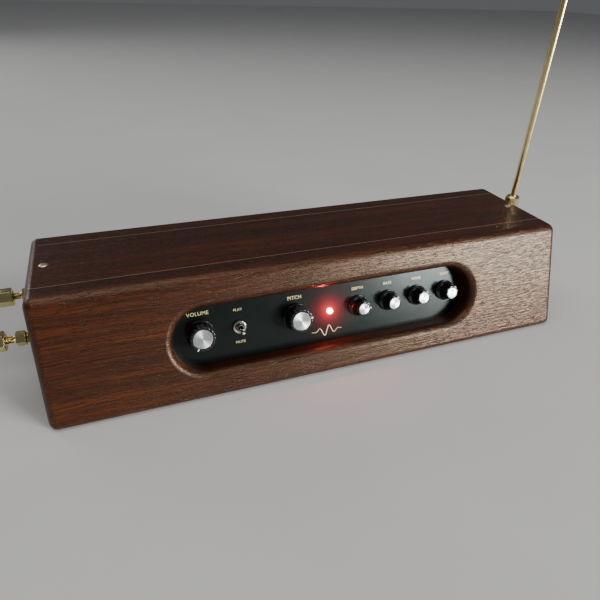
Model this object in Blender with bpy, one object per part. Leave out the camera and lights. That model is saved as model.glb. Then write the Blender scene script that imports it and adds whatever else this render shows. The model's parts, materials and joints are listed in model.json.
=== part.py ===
"""A theremin: a slant-front hardwood cabinet, a recessed control panel, a pitch rod and a volume loop.

Frame: +X is the player's right, +Y is the back, +Z is up. The origin is the middle of the cabinet's
underside. Lengths are in metres.
"""

from math import cos, pi, radians, sin, tan

import bmesh
import bpy
from mathutils import Vector

MM = 0.001
GAP = 0.3 * MM  # left between two faces that touch

# Cabinet, outside
WIDTH = 457 * MM
HEIGHT = 94.5 * MM
TOP_DEPTH = 110 * MM
LEAN = radians(17)  # of the front board, back from vertical
EDGE_ROUND = 6.35 * MM

# Boards
FRONT_THICK = 19 * MM
END_THICK = 19 * MM
BACK_THICK = 19 * MM
FLOOR_THICK = 12 * MM
LID_THICK = 12 * MM

FOOT = HEIGHT * tan(LEAN)  # how far the front's lower edge stands ahead of its upper edge
FRONT_Y = -(TOP_DEPTH + FOOT) / 2
BACK_Y = (TOP_DEPTH + FOOT) / 2
HALF = WIDTH / 2
INNER_BACK_Y = BACK_Y - BACK_THICK
INNER_TOP_Z = HEIGHT - LID_THICK

# Control panel, in a stadium opening of the front board
OPENING_LENGTH = 268 * MM
OPENING_HEIGHT = 52 * MM
PANEL_LENGTH = 300 * MM
PANEL_HEIGHT = 59 * MM
PANEL_THICK = 2 * MM
CONTROL_UP = 0.8 * MM  # of the controls' line above the panel's middle

# Brass fittings
TUBE_R = 3.175 * MM
TUBE_INSIDE_R = 2.4 * MM
TUBE_BORE_R = 3.55 * MM  # of what grips the tube
STUD_R = 2.7 * MM
STUD_NECK_R = 4 * MM
THREAD_R = 4.8 * MM
BIG_HEX = 13 * MM  # across flats
SMALL_HEX = 9.6 * MM
FITTING_Z = HEIGHT - 38.5 * MM
LOOP_FRONT_Y = FRONT_Y + FOOT + 19.3 * MM
LOOP_BACK_Y = FRONT_Y + FOOT + 83 * MM
ROD_X = HALF + 18 * MM
ROD_Y = LOOP_BACK_Y
ELBOW_Z = HEIGHT - 29 * MM
ROD_TOP_Z = HEIGHT + 460 * MM

# Rear panel, in a smaller stadium opening of the back board
REAR_LENGTH = 92 * MM
REAR_HEIGHT = 36 * MM
REAR_Z = 50 * MM


# ---------------------------------------------------------------- tools of the model


def material(name, colour, roughness, metallic=0.0):
    made = bpy.data.materials.new(name)
    made.use_nodes = True
    shader = made.node_tree.nodes["Principled BSDF"]
    shader.inputs["Base Color"].default_value = (*colour, 1)
    shader.inputs["Roughness"].default_value = roughness
    shader.inputs["Metallic"].default_value = metallic
    return made


def add_object(name, bm, finish, parent=None, location=(0, 0, 0), rotation=(0, 0, 0)):
    """Makes bm an object, round faces smooth and real edges sharp."""
    bmesh.ops.recalc_face_normals(bm, faces=bm.faces)
    mesh = bpy.data.meshes.new(name)
    bm.to_mesh(mesh)
    bm.free()
    mesh.materials.append(finish)
    mesh.shade_smooth()
    mesh.set_sharp_from_angle(angle=radians(32))
    made = bpy.data.objects.new(name, mesh)
    bpy.context.scene.collection.objects.link(made)
    made.parent = parent
    made.location = location
    made.rotation_euler = rotation
    return made


def skin(bm, rings, loop=False):
    """Joins a stack of rings. A ring of one point is a pole, and loop joins the last ring to the first."""
    made = [[bm.verts.new(point) for point in ring] for ring in rings]
    pairs = list(zip(made, made[1:]))
    if loop:
        pairs.append((made[-1], made[0]))
    for low, high in pairs:
        count = max(len(low), len(high))
        for i in range(count):
            j = (i + 1) % count
            corners = [low[i % len(low)], low[j % len(low)], high[j % len(high)], high[i % len(high)]]
            bm.faces.new(dict.fromkeys(corners))


def circle(radius, z, count, centre=(0, 0)):
    if radius == 0:
        return [Vector((*centre, z))]
    turns = [2 * pi * i / count for i in range(count)]
    return [Vector((centre[0] + radius * cos(a), centre[1] + radius * sin(a), z)) for a in turns]


def hexagon(across, z):
    """The corners of a hexagon and the middles of its sides."""
    points = []
    for i in range(12):
        a = pi / 6 * i
        reach = across / 2 / cos((a + pi / 6) % (pi / 3) - pi / 6)
        points.append(Vector((reach * cos(a), reach * sin(a), z)))
    return points


def turned(bm, profile, count=16, centre=(0, 0), loop=False):
    """A turned body about Z from (radius, height) pairs. A hollow one, with loop, never touches the axis."""
    skin(bm, [circle(radius, z, count, centre) for radius, z in profile], loop)


def block(bm, low, high):
    """A box from its lowest corner to its highest."""
    (x0, y0, z0), (x1, y1, z1) = low, high
    skin(
        bm,
        [
            [Vector(((x0 + x1) / 2, (y0 + y1) / 2, z0))],
            [Vector((x, y, z0)) for x, y in ((x0, y0), (x1, y0), (x1, y1), (x0, y1))],
            [Vector((x, y, z1)) for x, y in ((x0, y0), (x1, y0), (x1, y1), (x0, y1))],
            [Vector(((x0 + x1) / 2, (y0 + y1) / 2, z1))],
        ],
    )
    bmesh.ops.dissolve_limit(bm, angle_limit=radians(1), verts=bm.verts, edges=bm.edges)


def helper(name, bm, parent=None, location=(0, 0, 0), rotation=(0, 0, 0)):
    """A cutter: never a part of the object."""
    made = add_object(name, bm, HELPER, parent, location, rotation)
    made.hide_render = True
    made.display_type = "WIRE"
    return made


def boolean(target, other, operation="DIFFERENCE"):
    modifier = target.modifiers.new(operation.lower() + "_" + other.name, "BOOLEAN")
    modifier.operation = operation
    modifier.solver = "EXACT"
    modifier.object = other


def stadium(length, height, z, arc_count=14):
    """The outline of a slot with round ends, in XY."""
    radius, half = height / 2, (length - height) / 2
    right = [radians(-90 + 180 * i / arc_count) for i in range(arc_count + 1)]
    points = [Vector((half + radius * cos(a), radius * sin(a), z)) for a in right]
    return points + [Vector((-half - radius * cos(a), -radius * sin(a), z)) for a in right]


def flared_stadium(length, height, thick, overrun, flare_steps=3):
    """A cutter for a slot through a board whose face is at z 0: the slot's front edge comes out rounded."""
    bm = bmesh.new()
    rings = []
    for i in range(flare_steps + 1):
        turn = radians(90) * i / flare_steps
        grow = 2 * EDGE_ROUND * (1 - sin(turn))
        rings.append(stadium(length + grow, height + grow, -EDGE_ROUND * (1 - cos(turn))))
    rings.insert(0, [p + Vector((0, 0, overrun)) for p in rings[0]])
    rings.append(stadium(length, height, -thick - overrun))
    rings = [[Vector((0, 0, overrun))], *rings, [Vector((0, 0, -thick - overrun))]]
    skin(bm, rings)
    return bm


def on_lean(x, up, out=0.0):
    """A point of the leaning front: x along it, up the slope from its middle, out from its outer face."""
    middle = Vector((0, (FRONT_Y * 2 + FOOT) / 2, HEIGHT / 2))
    slope = Vector((0, sin(LEAN), cos(LEAN)))
    outward = Vector((0, -cos(LEAN), sin(LEAN)))
    return middle + Vector((x, 0, 0)) + slope * up + outward * out


for existing in list(bpy.data.objects):
    bpy.data.objects.remove(existing)

HELPER = material("helper", (0.8, 0.2, 0.8), 0.9)
WOOD = material("lacquered_sapele", (0.17, 0.055, 0.028), 0.35)
BLACK_PANEL = material("black_anodised_panel", (0.012, 0.014, 0.014), 0.3)
BLACK_KNOB = material("black_phenolic", (0.01, 0.01, 0.011), 0.22)
ALUMINIUM = material("spun_aluminium", (0.8, 0.82, 0.83), 0.25, 1)
BRASS = material("brass", (0.72, 0.58, 0.25), 0.25, 1)
NICKEL = material("nickel_plate", (0.62, 0.62, 0.6), 0.25, 1)
STEEL = material("zinc_steel", (0.5, 0.5, 0.5), 0.4, 1)
RED_LAMP = material("red_lamp", (0.9, 0.05, 0.06), 0.1)
BLACK_PLASTIC = material("black_plastic", (0.02, 0.02, 0.02), 0.5)
LAMINATE = material("green_laminate", (0.02, 0.14, 0.06), 0.45)
COPPER = material("copper_wire", (0.7, 0.3, 0.15), 0.35, 1)

# The panel's front face is this frame's XY plane: X to the right, Y up the slope, Z towards the player.
panel_frame = bpy.data.objects.new("panel_frame", None)
bpy.context.scene.collection.objects.link(panel_frame)
panel_frame.location = on_lean(0, 0, -FRONT_THICK - GAP)
panel_frame.rotation_euler = (pi / 2 - LEAN, 0, 0)

# The rear plate's outer face is this frame's XY plane: X to the cabinet's left, Y up, Z out of the back.
rear_frame = bpy.data.objects.new("rear_frame", None)
bpy.context.scene.collection.objects.link(rear_frame)
rear_frame.location = (0, INNER_BACK_Y - GAP, REAR_Z)
rear_frame.rotation_euler = (pi / 2, 0, pi)


# ---------------------------------------------------------------- cabinet boards


def board(name, outline, x0, x1, outer_normals):
    """A board with the section outline in YZ. The edges between two of its outer faces are rounded."""
    bm = bmesh.new()
    ends = [[bm.verts.new((x, y, z)) for y, z in outline] for x in (x0, x1)]
    for end in ends:
        bm.faces.new(end)
    count = len(outline)
    for i in range(count):
        j = (i + 1) % count
        bm.faces.new((ends[0][i], ends[0][j], ends[1][j], ends[1][i]))
    bmesh.ops.recalc_face_normals(bm, faces=bm.faces)
    outer = [Vector(n).normalized() for n in outer_normals]
    rounded = [
        edge
        for edge in bm.edges
        if all(any(face.normal.dot(n) > 0.99 for n in outer) for face in edge.link_faces)
    ]
    bmesh.ops.bevel(bm, geom=rounded, offset=EDGE_ROUND, segments=3, profile=0.5, affect="EDGES")
    return add_object(name, bm, WOOD)


def front_y(z, inset=0.0):
    """Where the leaning front's face is at height z, or a plane that lies inset behind it."""
    return FRONT_Y + z * tan(LEAN) + inset / cos(LEAN)


LEFT, RIGHT, UP, DOWN, BACK = (-1, 0, 0), (1, 0, 0), (0, 0, 1), (0, 0, -1), (0, 1, 0)
FACE = (0, -cos(LEAN), sin(LEAN))

front_board = board(
    "front_board",
    [
        (front_y(0), 0),
        (front_y(0, FRONT_THICK), 0),
        (front_y(HEIGHT, FRONT_THICK), HEIGHT),
        (front_y(HEIGHT), HEIGHT),
    ],
    -HALF,
    HALF,
    [FACE, LEFT, RIGHT, UP, DOWN],
)
back_board = board(
    "back_board",
    [(INNER_BACK_Y, 0), (BACK_Y, 0), (BACK_Y, HEIGHT), (INNER_BACK_Y, HEIGHT)],
    -HALF,
    HALF,
    [BACK, LEFT, RIGHT, UP, DOWN],
)


def between(z, clear=GAP):
    """The front and back ends, at height z, of a board that fits between the front and back boards."""
    return front_y(z, FRONT_THICK + clear), INNER_BACK_Y - clear


def fitted_outline(z0, z1):
    (front0, back0), (front1, back1) = between(z0), between(z1)
    return [(front0, z0), (back0, z0), (back1, z1), (front1, z1)]


end_outline = fitted_outline(0, INNER_TOP_Z - GAP)
left_end_board = board("left_end_board", end_outline, -HALF, -HALF + END_THICK, [LEFT, DOWN])
right_end_board = board("right_end_board", end_outline, HALF - END_THICK, HALF, [RIGHT, DOWN])
top_lid = board("top_lid", fitted_outline(INNER_TOP_Z, HEIGHT), -HALF, HALF, [LEFT, RIGHT, UP])
inner_half = HALF - END_THICK - GAP
bottom_board = board("bottom_board", fitted_outline(0, FLOOR_THICK), -inner_half, inner_half, [])

boolean(
    front_board,
    helper(
        "front_slot_cutter",
        flared_stadium(OPENING_LENGTH, OPENING_HEIGHT, FRONT_THICK, 6 * MM),
        location=on_lean(0, 0),
        rotation=panel_frame.rotation_euler,
    ),
)
boolean(
    back_board,
    helper(
        "back_slot_cutter",
        flared_stadium(REAR_LENGTH, REAR_HEIGHT, BACK_THICK, 6 * MM),
        location=(0, BACK_Y, REAR_Z),
        rotation=rear_frame.rotation_euler,
    ),
)


# ---------------------------------------------------------------- lid screws

# Two slotted countersunk screws hold the lid to the end boards. Z 0 is the lid's top.
HEAD_R = 3.4 * MM
HEAD_EDGE = 0.3 * MM
HEAD_DEEP = 2.4 * MM
SHANK_R = 1.5 * MM
SCREW_LENGTH = 26 * MM
LID_SCREW_X = HALF - 12.5 * MM
SLOT_WIDE = 0.9 * MM
SLOT_DEEP = 0.9 * MM
lid_screw_y = (front_y(HEIGHT, FRONT_THICK) + INNER_BACK_Y) / 2


def screw(slack=0.0):
    """The screw without its slot. slack swells it into the hole that takes it."""
    profile = [
        (0, slack),
        (HEAD_R + slack, slack),
        (HEAD_R + slack, -HEAD_EDGE),
        (SHANK_R + slack, -HEAD_DEEP - slack),
        (SHANK_R + slack, -SCREW_LENGTH - slack),
        (0, -SCREW_LENGTH - slack),
    ]
    bm = bmesh.new()
    turned(bm, profile, 10)
    return bm


screw_sides = (("left", -LID_SCREW_X, left_end_board), ("right", LID_SCREW_X, right_end_board))
for side, x, end_board in screw_sides:
    place = (x, lid_screw_y, HEIGHT)
    lid_screw = add_object("lid_screw_" + side, screw(), BRASS, location=place)
    bm = bmesh.new()
    block(bm, (-4 * MM, -SLOT_WIDE / 2, -SLOT_DEEP), (4 * MM, SLOT_WIDE / 2, 2 * MM))
    boolean(lid_screw, helper("lid_screw_slot_" + side, bm, location=place))
    hole = helper("lid_screw_hole_" + side, screw(GAP), location=place)
    boolean(top_lid, hole)
    boolean(end_board, hole)


# ---------------------------------------------------------------- stand flange

# A flange with a 5/8 inch threaded socket lies flush in the floor, behind the origin, its boss inside.
FLANGE_Y = 25 * MM
FLANGE_R = 21 * MM
FLANGE_THICK = 3 * MM
BOSS_R = 11.5 * MM
SOCKET_R = 7.94 * MM
SOCKET_DEEP = 20 * MM
bm = bmesh.new()
flange_profile = [
    (SOCKET_R, GAP),
    (FLANGE_R, GAP),
    (FLANGE_R, FLANGE_THICK),
    (BOSS_R, FLANGE_THICK),
    (BOSS_R, SOCKET_DEEP),
    (SOCKET_R, SOCKET_DEEP),
]
turned(bm, flange_profile, 32, loop=True)
add_object("stand_flange", bm, STEEL, location=(0, FLANGE_Y, 0))
recess = bmesh.new()
recess_profile = [
    (0, -1 * MM),
    (FLANGE_R + GAP, -1 * MM),
    (FLANGE_R + GAP, FLANGE_THICK + GAP),
    (BOSS_R + GAP, FLANGE_THICK + GAP),
    (BOSS_R + GAP, SOCKET_DEEP),
    (0, SOCKET_DEEP),
]
turned(recess, recess_profile, 32)
boolean(bottom_board, helper("flange_recess", recess, location=(0, FLANGE_Y, 0)))


# ---------------------------------------------------------------- control panel and its controls

BUSHING_R = 3.5 * MM
BUSHING_OUT = 5 * MM
SHAFT_R = 3 * MM
SHAFT_BORE_R = 3.35 * MM
POT_R = 8 * MM
POT_DEEP = 9 * MM
PANEL_BACK = -PANEL_THICK - GAP

BIG_KNOB = dict(skirt_r=11.6 * MM, grip_r=10.7 * MM, cap_r=7.7 * MM, height=15.4 * MM, flutes=16)
SMALL_KNOB = dict(skirt_r=9.3 * MM, grip_r=6.9 * MM, cap_r=4.8 * MM, height=13 * MM, flutes=8)
SMALL_X = 27.6 * MM
SMALL_PITCH = 29.5 * MM
# x is along the panel. turn is the pointer's angle at rest, clockwise from twelve o'clock. The stops are at
# 150 degrees either way.
CONTROLS = {
    "volume": dict(x=-111.3 * MM, turn=radians(-150), **BIG_KNOB),
    "pitch": dict(x=-30.4 * MM, turn=radians(81), **BIG_KNOB),
    "depth": dict(x=SMALL_X, turn=radians(90), **SMALL_KNOB),
    "rate": dict(x=SMALL_X + SMALL_PITCH, turn=radians(35), **SMALL_KNOB),
    "wave": dict(x=SMALL_X + 2 * SMALL_PITCH, turn=radians(35), **SMALL_KNOB),
    "tone": dict(x=SMALL_X + 3 * SMALL_PITCH, turn=radians(35), **SMALL_KNOB),
}
TOGGLE_PLACE = (-79.2 * MM, CONTROL_UP, 0)
LAMP_PLACE = (0, CONTROL_UP, 0)
CONTROL_HOLE_R = 4 * MM
SMALL_HOLE_R = 3.4 * MM
DRILL_REACH = 9 * MM


def drill_holes(name, plate, places, frame_empty):
    """Drills a plate at each (x, y, radius)."""
    bm = bmesh.new()
    for x, y, radius in places:
        profile = [(0, -DRILL_REACH), (radius, -DRILL_REACH), (radius, DRILL_REACH), (0, DRILL_REACH)]
        turned(bm, profile, 16, (x, y))
    boolean(plate, helper(name, bm, frame_empty))


bm = bmesh.new()
block(
    bm,
    (-PANEL_LENGTH / 2, -PANEL_HEIGHT / 2, -PANEL_THICK),
    (PANEL_LENGTH / 2, PANEL_HEIGHT / 2, 0),
)
control_panel = add_object("control_panel", bm, BLACK_PANEL, panel_frame)
drilled = [(control["x"], CONTROL_UP, CONTROL_HOLE_R) for control in CONTROLS.values()]
drilled += [(TOGGLE_PLACE[0], CONTROL_UP, SMALL_HOLE_R), (LAMP_PLACE[0], CONTROL_UP, SMALL_HOLE_R)]
drill_holes("panel_holes", control_panel, drilled, panel_frame)

# A knob is a round skirt with a fluted grip on it, hollow below for the bushing, its nut and the shaft.
FLUTE_DEEP = 0.7 * MM
GRIP_DRAFT = 0.5 * MM  # how much narrower the grip is at its top
SKIRT_CLEAR = 0.5 * MM  # of the skirt over the panel
SKIRT_EDGE = 1.4 * MM
SKIRT_RISE = 3.4 * MM
CAP_THICK = 0.5 * MM
NUT_ROOM_R = 6.3 * MM
NUT_ROOM_TOP = 3.2 * MM
BUSHING_ROOM_R = 4.1 * MM
BUSHING_ROOM_TOP = 6 * MM


def fluted(radius, z, flutes):
    """A ring of rounded ridges with narrow grooves between them, drawn with four points to a ridge."""
    points = []
    for i in range(flutes * 4):
        a = 2 * pi * i / (flutes * 4)
        reach = radius - FLUTE_DEEP * (1 - abs(cos(flutes * a / 2)))
        points.append(Vector((reach * cos(a), reach * sin(a), z)))
    return points


def knob(name, place, skirt_r, grip_r, cap_r, height, flutes):
    count = flutes * 4
    seat = height - CAP_THICK - GAP
    hollow = [
        circle(0, height - 2 * MM, count),
        circle(SHAFT_BORE_R, height - 2 * MM, count),
        circle(SHAFT_BORE_R, BUSHING_ROOM_TOP, count),
        circle(BUSHING_ROOM_R, BUSHING_ROOM_TOP, count),
        circle(BUSHING_ROOM_R, NUT_ROOM_TOP, count),
        circle(NUT_ROOM_R, NUT_ROOM_TOP, count),
        circle(NUT_ROOM_R, SKIRT_CLEAR, count),
    ]
    outside = [
        circle(skirt_r - 0.4 * MM, SKIRT_CLEAR, count),
        circle(skirt_r, SKIRT_CLEAR + 0.5 * MM, count),
        circle(skirt_r, SKIRT_CLEAR + SKIRT_EDGE, count),
        circle(grip_r + 0.3 * MM, SKIRT_RISE, count),
        fluted(grip_r, SKIRT_RISE + 0.6 * MM, flutes),
        fluted(grip_r - GRIP_DRAFT, height - 1 * MM, flutes),
        circle(cap_r + 0.3 * MM, height - 0.2 * MM, count),
        circle(cap_r + 0.3 * MM, seat, count),
        circle(0, seat, count),
    ]
    bm = bmesh.new()
    skin(bm, hollow + outside)
    add_object(name + "_knob", bm, BLACK_KNOB, **place)


def knob_cap(name, place, radius, height):
    bm = bmesh.new()
    low = height - CAP_THICK
    turned(bm, [(0, low), (radius, low), (radius, height), (0, height + 0.1 * MM)], 24)
    add_object(name + "_knob_cap", bm, ALUMINIUM, **place)


def shaft(name, place, height):
    bm = bmesh.new()
    low, high = PANEL_BACK - POT_DEEP / 2 + GAP, height - 2.4 * MM
    turned(bm, [(0, low), (SHAFT_R, low), (SHAFT_R, high), (0, high)], 12)
    add_object(name + "_shaft", bm, ALUMINIUM, **place)


def potentiometer(name, place):
    """A round can behind the panel with a bushing through it, bored for the shaft."""
    profile = [
        (0, PANEL_BACK - POT_DEEP),
        (POT_R, PANEL_BACK - POT_DEEP),
        (POT_R, PANEL_BACK),
        (BUSHING_R, PANEL_BACK),
        (BUSHING_R, BUSHING_OUT),
        (SHAFT_BORE_R, BUSHING_OUT),
        (SHAFT_BORE_R, PANEL_BACK - POT_DEEP / 2),
        (0, PANEL_BACK - POT_DEEP / 2),
    ]
    bm = bmesh.new()
    turned(bm, profile, 16)
    add_object(name + "_potentiometer", bm, STEEL, **place)


for name, control in CONTROLS.items():
    x, turn = control.pop("x"), control.pop("turn")
    turning = dict(parent=panel_frame, location=(x, CONTROL_UP, 0), rotation=(0, 0, -turn))
    knob(name, turning, **control)
    knob_cap(name, turning, control["cap_r"], control["height"])
    shaft(name, turning, control["height"])
    potentiometer(name, dict(parent=panel_frame, location=(x, CONTROL_UP, 0)))


# ---------------------------------------------------------------- play and mute toggle switch

TOGGLE_TILT = radians(13)  # of the lever from the switch's axis, each way
TOGGLE_OUT = 5.6 * MM
TOGGLE_PIVOT = 3.8 * MM
LEVER_REACH = 10.5 * MM

bm = bmesh.new()
turned(
    bm,
    [
        (3 * MM, PANEL_BACK - 1 * MM),
        (3 * MM, TOGGLE_OUT),
        (2.3 * MM, TOGGLE_OUT),
        (2.3 * MM, PANEL_BACK - 1 * MM),
    ],
    16,
    loop=True,
)
bushing = helper("toggle_bushing", bm, panel_frame, TOGGLE_PLACE)
bm = bmesh.new()
block(bm, (-4 * MM, -6.5 * MM, PANEL_BACK - POT_DEEP), (4 * MM, 6.5 * MM, PANEL_BACK))
toggle_body = add_object("toggle_body", bm, BLACK_PLASTIC, panel_frame, TOGGLE_PLACE)
boolean(toggle_body, bushing, "UNION")

bm = bmesh.new()
turned(
    bm,
    [
        (5.6 * MM, GAP),
        (5.6 * MM, 1.5 * MM),
        (4.9 * MM, 2.4 * MM),
        (3.3 * MM, 2.4 * MM),
        (3.3 * MM, GAP),
    ],
    20,
    loop=True,
)
add_object("toggle_nut", bm, NICKEL, panel_frame, TOGGLE_PLACE)

bm = bmesh.new()
turned(
    bm,
    [
        (0, -1.5 * MM),
        (1.2 * MM, -1 * MM),
        (1.1 * MM, 1.6 * MM),
        (1.4 * MM, LEVER_REACH - 2.6 * MM),
        (1.75 * MM, LEVER_REACH - 1.4 * MM),
        (1.3 * MM, LEVER_REACH - 0.3 * MM),
        (0, LEVER_REACH),
    ],
    12,
)
lever_place = (TOGGLE_PLACE[0], CONTROL_UP, TOGGLE_PIVOT)
add_object("toggle_lever", bm, NICKEL, panel_frame, lever_place, (TOGGLE_TILT, 0, 0))


# ---------------------------------------------------------------- indicator lamp

bm = bmesh.new()
holder_profile = [
    (3 * MM, PANEL_BACK - 3 * MM),
    (3 * MM, GAP),
    (3.9 * MM, GAP),
    (3.5 * MM, 1.4 * MM),
    (2.75 * MM, 1.4 * MM),
    (2.75 * MM, PANEL_BACK - 3 * MM),
]
turned(bm, holder_profile, 16, loop=True)
add_object("lamp_holder", bm, BLACK_PLASTIC, panel_frame, LAMP_PLACE)
LAMP_R = 2.45 * MM
LAMP_SHOULDER = 2.4 * MM
bm = bmesh.new()
dome = [(LAMP_R * cos(radians(a)), LAMP_SHOULDER + LAMP_R * sin(radians(a))) for a in (0, 30, 60)]
turned(bm, [(0, PANEL_BACK - 4 * MM), (LAMP_R, PANEL_BACK - 4 * MM), *dome, (0, LAMP_SHOULDER + LAMP_R)], 14)
add_object("indicator_lamp", bm, RED_LAMP, panel_frame, LAMP_PLACE)


# ---------------------------------------------------------------- pitch rod and its elbow

# The elbow's parts are drawn about Z. The level ones are laid along X, where 0 is the cabinet's wall.
ALONG_X = (0, pi / 2, 0)
ELBOW_R = 5.8 * MM
ARM_R = 5.2 * MM
elbow_reach = ROD_X - HALF
bm = bmesh.new()
upright_profile = [
    (0, -6.4 * MM),
    (4.2 * MM, -5 * MM),
    (ELBOW_R, -1 * MM),
    (ELBOW_R, 9 * MM),
    (THREAD_R, 10.2 * MM),
    (THREAD_R, 20 * MM),
    (0, 20 * MM),
]
turned(bm, upright_profile, 16)
pitch_elbow = add_object("pitch_elbow", bm, BRASS, location=(ROD_X, ROD_Y, ELBOW_Z))
arm, hexed = bmesh.new(), bmesh.new()
arm_profile = [
    (0, -END_THICK - 8 * MM),
    (THREAD_R, -END_THICK - 8 * MM),
    (THREAD_R, 3 * MM),
    (ARM_R, 4 * MM),
    (ARM_R, elbow_reach - 1 * MM),
    (0, elbow_reach),
]
turned(arm, arm_profile, 16)
hex_start, hex_end = 0.5 * MM, 6.5 * MM
hex_rings = [circle(0, hex_start, 12), hexagon(BIG_HEX, hex_start)]
hex_rings += [hexagon(BIG_HEX, hex_end), circle(0, hex_end, 12)]
skin(hexed, hex_rings)
for name, bm in (("elbow_arm", arm), ("elbow_hex", hexed)):
    boolean(pitch_elbow, helper(name, bm, location=(HALF, ROD_Y, ELBOW_Z), rotation=ALONG_X), "UNION")
bm = bmesh.new()
turned(bm, [(0, 1 * MM), (TUBE_BORE_R, 1 * MM), (TUBE_BORE_R, 30 * MM), (0, 30 * MM)], 16)
boolean(pitch_elbow, helper("rod_bore", bm, location=(ROD_X, ROD_Y, ELBOW_Z)))


def hollow_hex(bm, across, bore, z0, z1):
    """A hexagonal nut with a plain bore, from z0 to z1."""
    rings = [hexagon(across, z0), hexagon(across, z1), circle(bore, z1, 12), circle(bore, z0, 12)]
    skin(bm, rings, loop=True)


# The nut grips the rod. Its lower part is bored wide for the elbow's thread, its mouth is bored for the rod.
NUT_LOW = 13 * MM
NUT_HIGH = 27 * MM
NUT_STEP = 20.6 * MM
bm = bmesh.new()
nut_bore = THREAD_R + 0.5 * MM
skin(
    bm,
    [
        hexagon(BIG_HEX, NUT_LOW),
        hexagon(BIG_HEX, NUT_HIGH - 1.2 * MM),
        circle(5.2 * MM, NUT_HIGH, 12),
        circle(TUBE_BORE_R, NUT_HIGH, 12),
        circle(TUBE_BORE_R, NUT_STEP, 12),
        circle(nut_bore, NUT_STEP, 12),
        circle(nut_bore, NUT_LOW, 12),
    ],
    loop=True,
)
add_object("rod_nut", bm, BRASS, location=(ROD_X, ROD_Y, ELBOW_Z))

# The rod is a tube, open at its foot and plugged at its top.
rod_foot = ELBOW_Z + 1 * MM + GAP
rod_inside_top = ROD_TOP_Z - 4 * MM
rod_profile = [
    (0, rod_inside_top),
    (TUBE_INSIDE_R, rod_inside_top),
    (TUBE_INSIDE_R, rod_foot),
    (TUBE_R, rod_foot),
    (TUBE_R, ROD_TOP_Z - 1.5 * MM),
    (TUBE_R - 1.2 * MM, ROD_TOP_Z - 0.3 * MM),
    (0, ROD_TOP_Z),
]
bm = bmesh.new()
turned(bm, rod_profile, 16)
add_object("pitch_rod", bm, BRASS, location=(ROD_X, ROD_Y, 0))


# ---------------------------------------------------------------- volume loop and its fittings

# Drawn about Z, which is laid along -X: Z 0 is the cabinet's left wall, and Z grows away from it.
ALONG_LEFT = (0, -pi / 2, 0)
STUD_HEX_START = 5.5 * MM
STUD_HEX_END = 12 * MM
LOOP_NUT_START = 19 * MM
LOOP_NUT_END = 33 * MM
STUD_END = 26 * MM


def locknut(name, place, rotation):
    """Inside the wall, on a fitting's thread."""
    bm = bmesh.new()
    hollow_hex(bm, BIG_HEX, THREAD_R + 0.4 * MM, -END_THICK - 6 * MM, -END_THICK - GAP)
    add_object(name, bm, BRASS, location=place, rotation=rotation)


def drill(board_object, name, place):
    """The hole in an end board that a fitting's thread passes through."""
    bm = bmesh.new()
    radius, reach = THREAD_R + GAP, 40 * MM
    turned(bm, [(0, -reach), (radius, -reach), (radius, reach), (0, reach)], 16)
    boolean(board_object, helper(name, bm, location=place, rotation=ALONG_X))


for side, y in (("front", LOOP_FRONT_Y), ("back", LOOP_BACK_Y)):
    place = (-HALF, y, FITTING_Z)
    bm = bmesh.new()
    rings = [
        circle(0, -END_THICK - 8 * MM, 12),
        circle(THREAD_R, -END_THICK - 8 * MM, 12),
        circle(THREAD_R, 0.5 * MM, 12),
        circle(STUD_NECK_R, 0.5 * MM, 12),
        circle(STUD_NECK_R, STUD_HEX_START, 12),
        hexagon(SMALL_HEX, STUD_HEX_START),
        hexagon(SMALL_HEX, STUD_HEX_END - 1 * MM),
        circle(SMALL_HEX / 2 - 0.6 * MM, STUD_HEX_END, 12),
        circle(STUD_R, STUD_HEX_END, 12),
        circle(STUD_R, STUD_END, 12),
        circle(0, STUD_END, 12),
    ]
    skin(bm, rings)
    add_object("loop_fitting_" + side, bm, BRASS, location=place, rotation=ALONG_LEFT)
    bm = bmesh.new()
    hollow_hex(bm, BIG_HEX, TUBE_BORE_R, LOOP_NUT_START, LOOP_NUT_END)
    add_object("loop_nut_" + side, bm, BRASS, location=place, rotation=ALONG_LEFT)
    locknut("loop_locknut_" + side, place, ALONG_LEFT)
    drill(left_end_board, "loop_hole_" + side, place)
elbow_place = (HALF, ROD_Y, ELBOW_Z)
locknut("elbow_locknut", elbow_place, ALONG_X)
drill(right_end_board, "elbow_hole", elbow_place)

# The loop is one bent rod in a level plane: two straight legs that spread into a long oval.
LOOP_REACH = 235 * MM
LOOP_HALF_WIDE = 62 * MM
LEG_START = STUD_END + 0.6 * MM
LEG_STRAIGHT = 62 * MM
SPREAD_LENGTH = 62 * MM
loop_mid_y = (LOOP_FRONT_Y + LOOP_BACK_Y) / 2
leg_half = (LOOP_BACK_Y - LOOP_FRONT_Y) / 2


def loop_side():
    """One side of the loop as (distance from the wall, distance from the loop's middle line), leg first."""
    points = [(LEG_START, leg_half), (LEG_STRAIGHT, leg_half)]
    steps = 8
    for i in range(1, steps + 1):
        share = i / steps
        eased = share * share * (3 - 2 * share)
        points.append((LEG_STRAIGHT + SPREAD_LENGTH * share, leg_half + (LOOP_HALF_WIDE - leg_half) * eased))
    bend_start = LOOP_REACH - LOOP_HALF_WIDE
    bend_steps = 10
    for i in range(bend_steps + 1):
        a = radians(90) * i / bend_steps
        points.append((bend_start + LOOP_HALF_WIDE * sin(a), LOOP_HALF_WIDE * cos(a)))
    return points


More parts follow.
